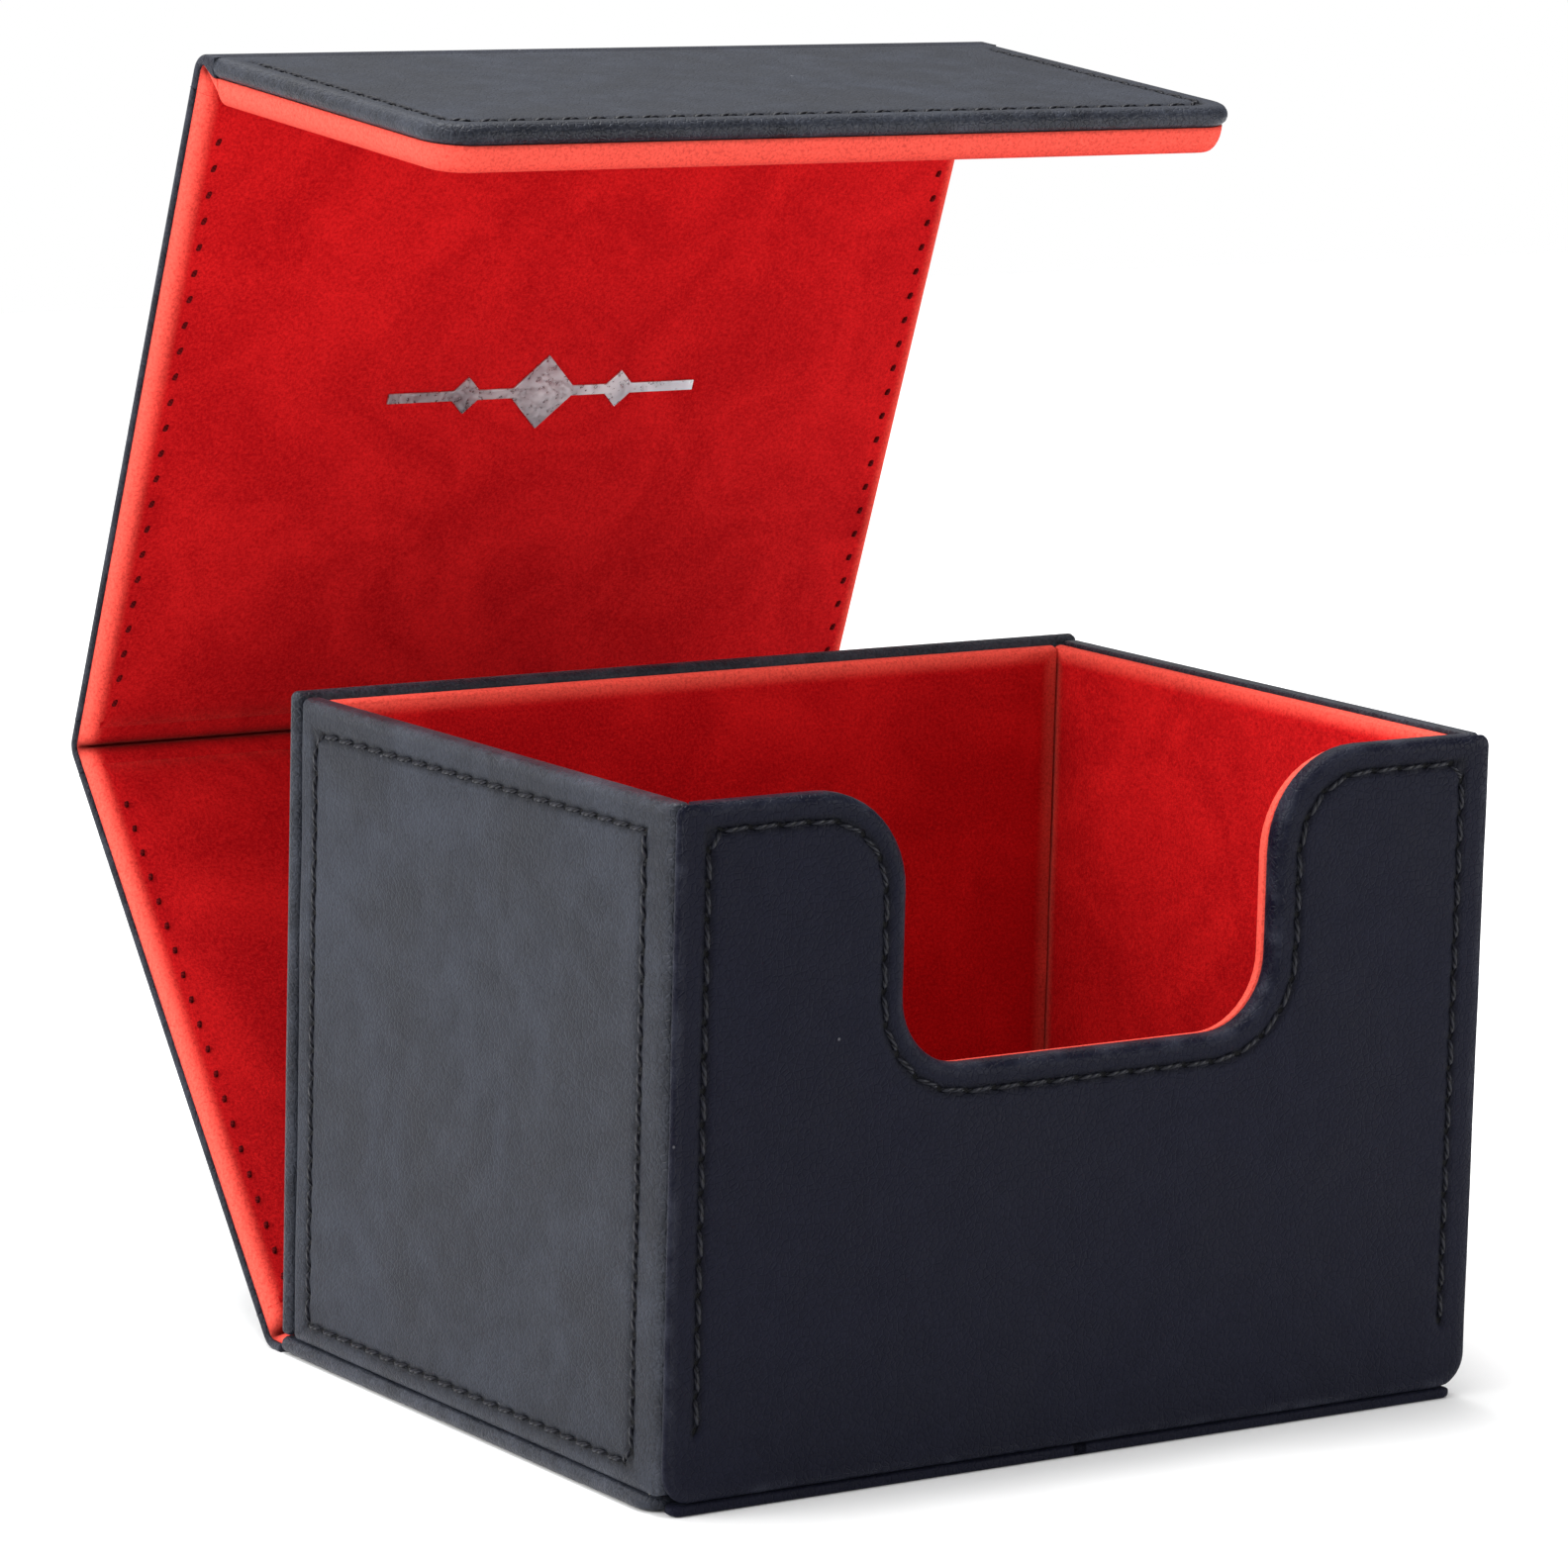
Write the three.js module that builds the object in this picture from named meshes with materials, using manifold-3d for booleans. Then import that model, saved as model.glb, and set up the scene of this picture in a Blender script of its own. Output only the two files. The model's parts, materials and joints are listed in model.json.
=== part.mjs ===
// A card deck box: a leather covered tray with a thumb notch, and a three panel lid that wraps it.
//
// The box is case-made. Every panel is a greyboard stiffener in a leather cover whose edges are turned
// over the board, closed on the inside by a red microfibre lining. The lid is a chain of three such
// panels, joined by soft folds of leather and lining: up the back, over the top and down the front,
// where magnets in the flap meet magnets in the front panel.
//
// Frame: +Z up, the front panel faces -Y, and the origin is the middle of the tray's footprint on the
// table. Millimetres. The lid stands half open.

import * as THREE from "three";
import { mergeVertices } from "three/addons/utils/BufferGeometryUtils.js";
import Module from "manifold-3d";

const wasm = await Module();
wasm.setup();

// ---------------------------------------------------------------- driving dimensions

// Tray
const BOX_WIDTH = 101; // X, across the front and back panels
const BOX_DEPTH = 75; // Y, front face to back face
const BOX_HEIGHT = 70.8; // Z, table to rim
const BACK_RISE = 0.5; // the back wall's rim stands this much higher
const SIDE_RECESS = 0.5; // the side walls sit this far inside the front and back panels

// Layers, from the outside in
const LEATHER = 0.9;
const GLUE = 0.1; // glue line between two layers
const FRONT_BOARD = 1.5;
const WALL_BOARD = 1.0; // sides and back
const BASE_BOARD = 1.0;
const TRAY_LINING = 1.1;
const LID_BOARD = 0.9; // the lid's back and top panels
const LID_LINING = 0.8;
const FLAP_BOARD = 1.9;
const FLAP_LINING = 2.1;

// Closing clearances between the shut lid and the tray
const BACK_GAP = 0.4;
const TOP_GAP = 1.0;
const FRONT_GAP = 0.4;

// Thumb notch in the front panel
const NOTCH_WIDTH = 45.8;
const NOTCH_DEPTH = 28.6;
const NOTCH_SHOULDER = 10.5; // convex radius where the rim rolls into the notch
const NOTCH_CORNER = 7.5; // concave radius at the notch floor

// Edges and corners
const FRONT_FOOT = 1.3; // the front panel hangs this far above the table
const FRONT_TOP_CORNER = 1.2;
const FRONT_BOTTOM_CORNER = 3.5;
const WALL_CORNER = 0.8;
const LINING_SETBACK = 0.5; // the lining stops this far inside a cover's edge

// Lid
const LID_WRAP = 0.45; // thickness of the lining where it is turned over the rim of a lid board
const LID_CORNER = 1.2;
const FLAP_LENGTH = 50; // fold axis to free edge
const FLAP_CORNER = 5;
const FOLD_REACH = 3.2; // fold axis to the first stiff part of a panel
const FOLD_RADIUS = 2.4; // outer radius of the folded leather
const FOLD_LINING = 0.7;
const FOLD_END_GAP = 0.15;

// How the lid stands, as the lean of each panel from upright towards the front, in degrees
const LID_BACK_LEAN = -38.3;
const LID_TOP_LEAN = 19.1;
const FLAP_LEAN = 94.5;

// Magnets
const MAGNET_DIAMETER = 10;
const MAGNET_THICKNESS = 1.2;
const MAGNET_CLEARANCE = 0.2;
const MAGNET_MARGIN = 14.3; // centre of a magnet to the flap's free edge
const MAGNET_EDGE = 14; // centre of a magnet to the end of the front panel

// Seams: a thread laid in a groove that the needle draws into the cover
const GROOVE_WIDTH = 0.9;
const GROOVE_DEPTH = 0.4;
const THREAD_CLEARANCE = 0.1;
const WALL_SEAM = { front: 5.0, back: 3.4, rim: 3.3, foot: 2.2 }; // insets from a side wall's edges
const FRONT_SEAM_INSET = 3.6; // from the panel's ends
const FRONT_SEAM_DROP = 2.7; // from the rim and from the notch
const LID_SEAM_INSET = 3.1;
const FLAP_SEAM_INSET = 3.0;

// Foil ornament on the lining of the lid's top panel: a rule through three lozenges
const ORNAMENT_LENGTH = 40;
const ORNAMENT_HEIGHT = 9;
const ORNAMENT_RULE = 1.2;
const ORNAMENT_CENTRE = 42; // from the fold at the panel's rear
const FOIL = 0.15;
const FOIL_CLEARANCE = 0.1;

const ARC_STEPS = 6; // segments in a quarter round
const SMALLEST_ARC = 0.4; // a corner with less radius is drawn square

// ---------------------------------------------------------------- derived sizes

const stack = (board, lining) => LEATHER + GLUE + board + GLUE + lining;
const coverDepth = (board) => LEATHER + GLUE + board;

const HALF_WIDTH = BOX_WIDTH / 2;
const HALF_DEPTH = BOX_DEPTH / 2;
const HALF_SIDE = HALF_WIDTH - SIDE_RECESS;
const INSIDE_HALF_WIDTH = HALF_SIDE - stack(WALL_BOARD, TRAY_LINING);
const INSIDE_FRONT = -HALF_DEPTH + stack(FRONT_BOARD, TRAY_LINING);
const INSIDE_BACK = HALF_DEPTH - stack(WALL_BOARD, TRAY_LINING);
const WALL_FRONT = -HALF_DEPTH + LEATHER + GLUE; // a side wall starts behind the front's leather
const BEHIND_FRONT = -HALF_DEPTH + coverDepth(FRONT_BOARD) + GLUE; // and the base behind its board
const WALL_BACK = HALF_DEPTH - coverDepth(WALL_BOARD) - GLUE; // and where it ends
const WALL_FOOT = coverDepth(BASE_BOARD) + GLUE; // walls stand on the covered base board
const BETWEEN_WALLS = HALF_SIDE - coverDepth(WALL_BOARD) - GLUE; // half the room for the front board

const LID_THICKNESS = stack(LID_BOARD, LID_LINING);
const FLAP_THICKNESS = stack(FLAP_BOARD, FLAP_LINING);
const FOLD_DEPTH = LEATHER; // a fold turns about the inner face of its leather
const HINGE_Y = HALF_DEPTH + BACK_GAP + LID_THICKNESS - FOLD_DEPTH;
const HINGE_Z = FOLD_DEPTH;
const BACK_SPAN = BOX_HEIGHT + TOP_GAP + LID_THICKNESS - FOLD_DEPTH - HINGE_Z;
const LID_WIDTH = BOX_WIDTH;
const TOP_SPAN = HINGE_Y + HALF_DEPTH + FRONT_GAP + FLAP_THICKNESS - FOLD_DEPTH;
const BASE_REACH = HINGE_Y - HALF_DEPTH; // fold axis to the tray's base

const MAGNET_X = HALF_WIDTH - MAGNET_EDGE;
const FLAP_MAGNET_Z = FLAP_LENGTH - MAGNET_MARGIN;
const FRONT_MAGNET_Z = HINGE_Z + BACK_SPAN - FLAP_MAGNET_Z; // level with the flap's when it is shut

// ---------------------------------------------------------------- looks

const LEATHER_BLACK = { color: 0x1d1e26, roughness: 0.72, metalness: 0 };
const LINING_RED = { color: 0xb3181d, roughness: 0.95, metalness: 0 };
const GREYBOARD = { color: 0x8c8880, roughness: 0.9, metalness: 0 };
const NICKEL = { color: 0xb9bcc0, roughness: 0.3, metalness: 1 };
const THREAD_GREY = { color: 0x6d7078, roughness: 0.6, metalness: 0 };
const THREAD_DARK = { color: 0x3a1013, roughness: 0.7, metalness: 0 };
const SILVER_FOIL = { color: 0xc9ccd2, roughness: 0.25, metalness: 1 };

function mesh(name, geometry, look) {
  const made = new THREE.Mesh(geometry, new THREE.MeshStandardMaterial(look));
  made.name = name;
  return made;
}

// ---------------------------------------------------------------- solids

function solidOf(geometry) {
  const bare = geometry.clone();
  bare.deleteAttribute("normal");
  bare.deleteAttribute("uv");
  const merged = mergeVertices(bare, 1e-4);
  return new wasm.Manifold(
    new wasm.Mesh({
      numProp: 3,
      vertProperties: merged.attributes.position.array,
      triVerts: new Uint32Array(merged.index.array),
    }),
  );
}

function geometryOf(solid) {
  const { vertProperties, triVerts } = solid.getMesh();
  const geometry = new THREE.BufferGeometry();
  geometry.setAttribute("position", new THREE.BufferAttribute(vertProperties, 3));
  geometry.setIndex(new THREE.BufferAttribute(triVerts, 1));
  geometry.computeVertexNormals();
  return geometry;
}

// A geometry with others cut out of it.
function cut(geometry, ...tools) {
  let solid = solidOf(geometry);
  for (const tool of tools) solid = solid.subtract(solidOf(tool));
  return geometryOf(solid);
}

// A plate of a panel. The outline's x runs along X and its y along Z; the plate fills the depths
// from `from` to `to`, counted from the panel's outer face (y = 0) inwards, along -Y.
function plate(outline, from, to) {
  const geometry = new THREE.ExtrudeGeometry(outline, {
    depth: to - from,
    bevelEnabled: false,
    curveSegments: ARC_STEPS,
  });
  const alongX = new THREE.Vector3(1, 0, 0);
  const alongZ = new THREE.Vector3(0, 0, 1);
  const inwards = new THREE.Vector3(0, -1, 0);
  geometry.applyMatrix4(new THREE.Matrix4().makeBasis(alongX, alongZ, inwards));
  return geometry.translate(0, -from, 0);
}

// A bar whose section lies in the Y-Z plane, centred on X.
function bar(section, width) {
  const geometry = new THREE.ExtrudeGeometry(section, {
    depth: width,
    bevelEnabled: false,
    curveSegments: ARC_STEPS,
  });
  const alongX = new THREE.Vector3(1, 0, 0);
  const alongY = new THREE.Vector3(0, 1, 0);
  const alongZ = new THREE.Vector3(0, 0, 1);
  geometry.applyMatrix4(new THREE.Matrix4().makeBasis(alongY, alongZ, alongX));
  return geometry.translate(-width / 2, 0, 0);
}

// ---------------------------------------------------------------- outlines

// Adds a convex corner at (x, z) to an anticlockwise outline. The quadrant says which way the corner
// points: 0 is +X+Z, 1 is -X+Z, 2 is -X-Z and 3 is +X-Z.
function addCorner(shape, x, z, radius, quadrant) {
  const start = (quadrant * Math.PI) / 2;
  const toX = quadrant === 0 || quadrant === 3 ? 1 : -1;
  const toZ = quadrant < 2 ? 1 : -1;
  if (radius >= SMALLEST_ARC) {
    shape.absarc(x - toX * radius, z - toZ * radius, radius, start, start + Math.PI / 2);
  } else if (shape.curves.length) {
    shape.lineTo(x, z);
  } else {
    shape.moveTo(x, z);
    shape.lineTo(x, z);
  }
}

// A rectangle with its own radius at the bottom and top corners, shrunk by `inset` all round.
function panelOutline({ left, right, bottom, top, bottomCorner, topCorner }) {
  return (inset) => {
    const shape = new THREE.Shape();
    addCorner(shape, left + inset, bottom + inset, bottomCorner - inset, 2);
    addCorner(shape, right - inset, bottom + inset, bottomCorner - inset, 3);
    addCorner(shape, right - inset, top - inset, topCorner - inset, 0);
    addCorner(shape, left + inset, top - inset, topCorner - inset, 1);
    shape.closePath();
    return shape;
  };
}

// The front panel's outline with its thumb notch. The ends and the foot move in by `ends`, and the
// rim and the notch by `rim`.
function notchedOutline(
  ends,
  rim,
  left = -HALF_WIDTH,
  right = HALF_WIDTH,
  foot = FRONT_FOOT + ends,
) {
  const l = left + ends;
  const r = right - ends;
  const b = foot;
  const t = BOX_HEIGHT - rim;
  const topRadius = FRONT_TOP_CORNER - Math.min(ends, rim);
  const half = NOTCH_WIDTH / 2 + rim;
  const floor = BOX_HEIGHT - NOTCH_DEPTH - rim;
  const shoulder = NOTCH_SHOULDER - rim;
  const corner = NOTCH_CORNER + rim;
  const shape = new THREE.Shape();
  addCorner(shape, l, b, FRONT_BOTTOM_CORNER - ends, 2);
  addCorner(shape, r, b, FRONT_BOTTOM_CORNER - ends, 3);
  addCorner(shape, r, t, topRadius, 0);
  addCorner(shape, half, t, shoulder, 1);
  shape.absarc(half - corner, floor + corner, corner, 0, -0.5 * Math.PI, true);
  shape.absarc(corner - half, floor + corner, corner, -0.5 * Math.PI, -Math.PI, true);
  addCorner(shape, -half, t, shoulder, 0);
  addCorner(shape, l, t, topRadius, 1);
  shape.closePath();
  return shape;
}

// The band between two insets of an outline.
function ring(outline, inset, width) {
  const shape = outline(inset - width / 2);
  shape.holes.push(outline(inset + width / 2));
  return shape;
}

function rectangle(left, right, bottom, top) {
  const shape = new THREE.Shape();
  shape.moveTo(left, bottom);
  shape.lineTo(right, bottom);
  shape.lineTo(right, top);
  shape.lineTo(left, top);
  shape.closePath();
  return shape;
}

// The ornament: a long rule through a large lozenge at its middle and a small one near each end.
function ornamentOutline(grow) {
  const rule = ORNAMENT_RULE / 2 + grow;
  const end = ORNAMENT_LENGTH / 2 + grow;
  const big = ORNAMENT_HEIGHT / 2 + grow * Math.SQRT2;
  const small = ORNAMENT_HEIGHT / 4 + grow * Math.SQRT2;
  const smallAt = ORNAMENT_LENGTH / 4;
  const z = ORNAMENT_CENTRE;
  const upper = [
    [-end, rule],
    [-smallAt - small + rule, rule],
    [-smallAt, small],
    [-smallAt + small - rule, rule],
    [-big + rule, rule],
    [0, big],
    [big - rule, rule],
    [smallAt - small + rule, rule],
    [smallAt, small],
    [smallAt + small - rule, rule],
    [end, rule],
  ];
  const lower = upper.map(([x, dz]) => [x, -dz]).reverse();
  return new THREE.Shape([...upper, ...lower].map(([x, dz]) => new THREE.Vector2(x, z + dz)));
}

// ---------------------------------------------------------------- panels

// The leather cover: a plate with its edges turned over the board, open on the lining side.
function cover(outline, board, ...grooves) {
  const depth = coverDepth(board);
  const pocket = plate(outline(LEATHER), LEATHER, depth + 1);
  return cut(plate(outline(0), 0, depth), pocket, ...grooves);
}

// The greyboard in the cover's pocket, with through holes for its magnets.
function stiffener(outline, board, ...holes) {
  const sheet = plate(outline(LEATHER + GLUE), LEATHER + GLUE, coverDepth(board));
  return holes.length ? cut(sheet, ...holes) : sheet;
}

function lining(outline, board, thickness, ...cuts) {
  const top = stack(board, thickness);
  const sheet = plate(outline, coverDepth(board) + GLUE, top);
  return cuts.length ? cut(sheet, ...cuts) : sheet;
}

// The groove of a seam in a face at depth `face`, and the thread that lies in it. `inwards` is +1
// where the face looks outwards, so that the groove runs in from it, and -1 on the lining's face.
function seam(band, face, inwards) {
  const span = (width, near, far) => {
    const depths = [face + inwards * near, face + inwards * far].sort((a, b) => a - b);
    return plate(band(width), depths[0], depths[1]);
  };
  const threadWidth = GROOVE_WIDTH - 2 * THREAD_CLEARANCE;
  return {
    groove: span(GROOVE_WIDTH, -1, GROOVE_DEPTH),
    thread: span(threadWidth, THREAD_CLEARANCE / 2, GROOVE_DEPTH - THREAD_CLEARANCE),
  };
}

// A disc that lies in the plane of a panel: the magnet, or with a clearance the hole that it fills.
function disc(x, z, thickness, middle, clearance) {
  const radius = MAGNET_DIAMETER / 2 + clearance;
  const geometry = new THREE.CylinderGeometry(radius, radius, thickness, 8 * ARC_STEPS);
  return geometry.translate(x, -middle, z);
}

function magnets(z, board) {
  const middle = LEATHER + GLUE + board / 2;
  return [-MAGNET_X, MAGNET_X].map((x) => ({
    hole: disc(x, z, board + 2, middle, MAGNET_CLEARANCE),
    body: disc(x, z, MAGNET_THICKNESS, middle, 0),
  }));
}

// ---------------------------------------------------------------- tray

function frontPanel() {
  const group = new THREE.Group(); // x runs towards -X here, and the panel is symmetric
  group.position.y = -HALF_DEPTH;
  group.rotation.z = Math.PI;

  const outline = (inset) => notchedOutline(inset, inset);
  const row = seam((width) => {
    const shape = notchedOutline(FRONT_SEAM_INSET - width / 2, FRONT_SEAM_DROP - width / 2);
    shape.holes.push(notchedOutline(FRONT_SEAM_INSET + width / 2, FRONT_SEAM_DROP + width / 2));
    return shape;
  }, 0, 1);
  // The row stops short of the panel's foot on both sides.
  const foot = FRONT_FOOT + FRONT_SEAM_INSET + FRONT_BOTTOM_CORNER;
  const below = plate(rectangle(-BOX_WIDTH, BOX_WIDTH, -1, foot), -2, GROOVE_DEPTH + 2);
  const [first, second] = magnets(FRONT_MAGNET_Z, FRONT_BOARD);

  const inside = INSIDE_HALF_WIDTH - GLUE;
  const liningOutline = notchedOutline(0, LINING_SETBACK, -inside, inside);
  const belowFloor = plate(rectangle(-BOX_WIDTH, BOX_WIDTH, -1, WALL_FOOT), 0, BOX_DEPTH);
  // Only the leather reaches across the side walls' front edges: the board fits between the walls.
  const ends = [-1, 1].map((sign) => {
    const across = [sign * BETWEEN_WALLS, sign * BOX_WIDTH].sort((a, b) => a - b);
    return plate(rectangle(...across, -1, BOX_HEIGHT + 1), LEATHER, BOX_DEPTH);
  });
  const reach = BETWEEN_WALLS - GLUE;
  const boardOutline = (inset) => notchedOutline(0, inset, -reach, reach, FRONT_FOOT + inset);

  const skin = cover(outline, FRONT_BOARD, cut(row.groove, below), ...ends);
  const board = stiffener(boardOutline, FRONT_BOARD, first.hole, second.hole);

  group.add(mesh("front_cover", skin, LEATHER_BLACK));
  group.add(mesh("front_board", board, GREYBOARD));
  group.add(mesh("front_lining", lining(liningOutline, FRONT_BOARD, TRAY_LINING, belowFloor), LINING_RED));
  group.add(mesh("front_magnet_right", first.body, NICKEL));
  group.add(mesh("front_magnet_left", second.body, NICKEL));
  group.add(mesh("front_thread", cut(row.thread, below), THREAD_GREY));
  return group;
}

function sideWall(side) {
  const sign = side === "left" ? -1 : 1;
  const group = new THREE.Group(); // the outline's x runs towards +Y on the left, -Y on the right
  group.position.x = sign * HALF_SIDE;
  group.rotation.z = (-sign * Math.PI) / 2;

  const along = [-sign * WALL_FRONT, -sign * WALL_BACK].sort((a, b) => a - b);
  const outline = panelOutline({
    left: along[0],
    right: along[1],
    bottom: WALL_FOOT,
    top: BOX_HEIGHT,
    bottomCorner: WALL_CORNER,
    topCorner: WALL_CORNER,
  });
  const [first, last] = sign < 0 ? ["front", "back"] : ["back", "front"];
  const seamOutline = panelOutline({
    left: along[0] + WALL_SEAM[first],
    right: along[1] - WALL_SEAM[last],
    bottom: WALL_FOOT + WALL_SEAM.foot,
    top: BOX_HEIGHT - WALL_SEAM.rim,
    bottomCorner: 0,
    topCorner: 0,
  });
  const loop = seam((width) => ring(seamOutline, 0, width), 0, 1);
  const lined = [-sign * BEHIND_FRONT, -sign * WALL_BACK].sort((a, b) => a - b);
  const sheet = rectangle(lined[0], lined[1], WALL_FOOT, BOX_HEIGHT - LINING_SETBACK);

  group.add(mesh(`${side}_cover`, cover(outline, WALL_BOARD, loop.groove), LEATHER_BLACK));
  group.add(mesh(`${side}_board`, stiffener(outline, WALL_BOARD), GREYBOARD));
  group.add(mesh(`${side}_lining`, lining(sheet, WALL_BOARD, TRAY_LINING), LINING_RED));
  group.add(mesh(`${side}_thread`, loop.thread, THREAD_GREY));
  return group;
}

function backWall() {
  const group = new THREE.Group();
  group.position.y = HALF_DEPTH;

  const outline = panelOutline({
    left: -HALF_WIDTH,
    right: HALF_WIDTH,
    bottom: WALL_FOOT,
    top: BOX_HEIGHT + BACK_RISE,
    bottomCorner: WALL_CORNER,
    topCorner: WALL_CORNER,
  });
  const inside = INSIDE_HALF_WIDTH - GLUE;
  const sheet = rectangle(-inside, inside, WALL_FOOT, BOX_HEIGHT - LINING_SETBACK);

  group.add(mesh("back_cover", cover(outline, WALL_BOARD), LEATHER_BLACK));
  group.add(mesh("back_board", stiffener(outline, WALL_BOARD), GREYBOARD));
  group.add(mesh("back_lining", lining(sheet, WALL_BOARD, TRAY_LINING), LINING_RED));
  return group;
}

function base() {
  const group = new THREE.Group(); // the outline's y runs along +Y, and depth counts upwards
  group.rotation.x = -Math.PI / 2;

  const outline = panelOutline({
    left: -HALF_WIDTH,
    right: HALF_WIDTH,
    bottom: BEHIND_FRONT,
    top: HALF_DEPTH,
    bottomCorner: WALL_CORNER,
    topCorner: WALL_CORNER,
  });
  const inside = INSIDE_HALF_WIDTH - GLUE;
  const sheet = rectangle(-inside, inside, INSIDE_FRONT + GLUE, INSIDE_BACK - GLUE);

  group.add(mesh("base_cover", cover(outline, BASE_BOARD), LEATHER_BLACK));
  group.add(mesh("base_board", stiffener(outline, BASE_BOARD), GREYBOARD));
  group.add(mesh("floor_lining", lining(sheet, BASE_BOARD, TRAY_LINING), LINING_RED));
  return group;
}

// The leather that runs from the base round the bottom edge to the front panel, seen as a thin
// strip under the panel.
function frontFold() {
  const front = -HALF_DEPTH + 0.4;
  const rear = BEHIND_FRONT - FOLD_END_GAP;
  const top = FRONT_FOOT - GLUE;
  const section = new THREE.Shape();
  section.moveTo(rear, 0);
  section.lineTo(rear, top);
  section.lineTo(front, top);
  section.absarc(front + LEATHER, LEATHER, LEATHER, Math.PI, 1.5 * Math.PI);
  section.closePath();
  return mesh("front_fold_leather", bar(section, BOX_WIDTH - 2 * SIDE_RECESS), LEATHER_BLACK);
}

// ---------------------------------------------------------------- folds

// A soft fold in section, in the frame of the panel before it, whose Z runs along the panel to the
// fold axis at the frame's origin. The outer face is at y = FOLD_DEPTH. The next panel leans
// `angle` further towards the inside. The band fills the depths from `from` to `to`, and reaches
// `before` and `after` along the two panels.
function foldSection(angle, from, to, before, after) {
  const bend = THREE.MathUtils.degToRad(angle);
  const normal = new THREE.Vector2(Math.cos(bend), Math.sin(bend));
  const onward = new THREE.Vector2(-Math.sin(bend), Math.cos(bend));
  const back = FOLD_RADIUS - FOLD_DEPTH;
  const centre = new THREE.Vector2(-back, -back * Math.tan(bend / 2));
  const finish = (depth) =>
    normal.clone().multiplyScalar(FOLD_DEPTH - depth).addScaledVector(onward, after);

  const section = new THREE.Shape();
  section.moveTo(FOLD_DEPTH - from, -before);
  section.absarc(centre.x, centre.y, FOLD_RADIUS - from, 0, bend);
  section.lineTo(finish(from).x, finish(from).y);
  section.lineTo(finish(to).x, finish(to).y);
  section.absarc(centre.x, centre.y, FOLD_RADIUS - to, bend, 0, true);
  section.lineTo(FOLD_DEPTH - to, -before);
  section.closePath();
  return section;
}

// A fold's leather and the lining that lies in it.
function fold(name, angle, before, after) {
  const reach = [before - FOLD_END_GAP, after - FOLD_END_GAP];
  const inner = LEATHER + GLUE;
  const leather = foldSection(angle, 0, LEATHER, ...reach);
  const red = foldSection(angle, inner, inner + FOLD_LINING, ...reach);
  return [
    mesh(`${name}_fold_leather`, bar(leather, LID_WIDTH), LEATHER_BLACK),
    mesh(`${name}_fold_lining`, bar(red, LID_WIDTH - 2 * LINING_SETBACK), LINING_RED),
  ];
}

// ---------------------------------------------------------------- lid

// A lid panel's outline, from its fold to its far edge.
function lidOutline(far, farCorner) {
  return panelOutline({
    left: -LID_WIDTH / 2,
    right: LID_WIDTH / 2,
    bottom: FOLD_REACH,
    top: far,
    bottomCorner: LID_CORNER,
    topCorner: farCorner,
  });
}

// The two seams up the ends of a lid panel, on the lining's face.
function endSeams(outline, span) {
  const face = LID_THICKNESS;
  return ["left", "right"].map((side) => {
    const sign = side === "left" ? -1 : 1;
    const x = sign * (LID_WIDTH / 2 - LID_SEAM_INSET);
    const bottom = FOLD_REACH + LID_SEAM_INSET;
    const top = span - FOLD_REACH - LID_SEAM_INSET;
    const band = (width) => rectangle(x - width / 2, x + width / 2, bottom, top);
    return { side, ...seam(band, face, -1) };
  });
}

function lidPanel(name, span, ...cuts) {
  const group = new THREE.Group(); // y = 0 is the outer face
  group.position.y = FOLD_DEPTH;
  const outline = lidOutline(span - FOLD_REACH, LID_CORNER);
  const seams = endSeams(outline, span);
  const grooves = seams.map((row) => row.groove);
  // The leather is cut flush, and the lining is turned over the board's rim to meet it.
  const wrap = plate(outline(LINING_SETBACK), LEATHER + GLUE, LID_THICKNESS);
  const bed = plate(outline(LINING_SETBACK + LID_WRAP), 0, coverDepth(LID_BOARD) + GLUE);
  const red = cut(wrap, bed, ...grooves, ...cuts);
  const boardEdge = LINING_SETBACK + LID_WRAP + GLUE;
  const sheet = plate(outline(boardEdge), LEATHER + GLUE, coverDepth(LID_BOARD));

  group.add(mesh(`${name}_cover`, plate(outline(0), 0, LEATHER), LEATHER_BLACK));
  group.add(mesh(`${name}_board`, sheet, GREYBOARD));
  group.add(mesh(`${name}_lining`, red, LINING_RED));
  for (const row of seams) group.add(mesh(`${name}_thread_${row.side}`, row.thread, THREAD_DARK));
  return group;
}

function lidTopPanel() {
  const face = LID_THICKNESS;
  const recess = plate(ornamentOutline(FOIL_CLEARANCE), face - FOIL - FOIL_CLEARANCE, face + 1);
  const group = lidPanel("lid_top", TOP_SPAN, recess);
  const foil = plate(ornamentOutline(0), face - FOIL, face);
  group.add(mesh("foil_ornament", foil, SILVER_FOIL));
  return group;
}

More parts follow.
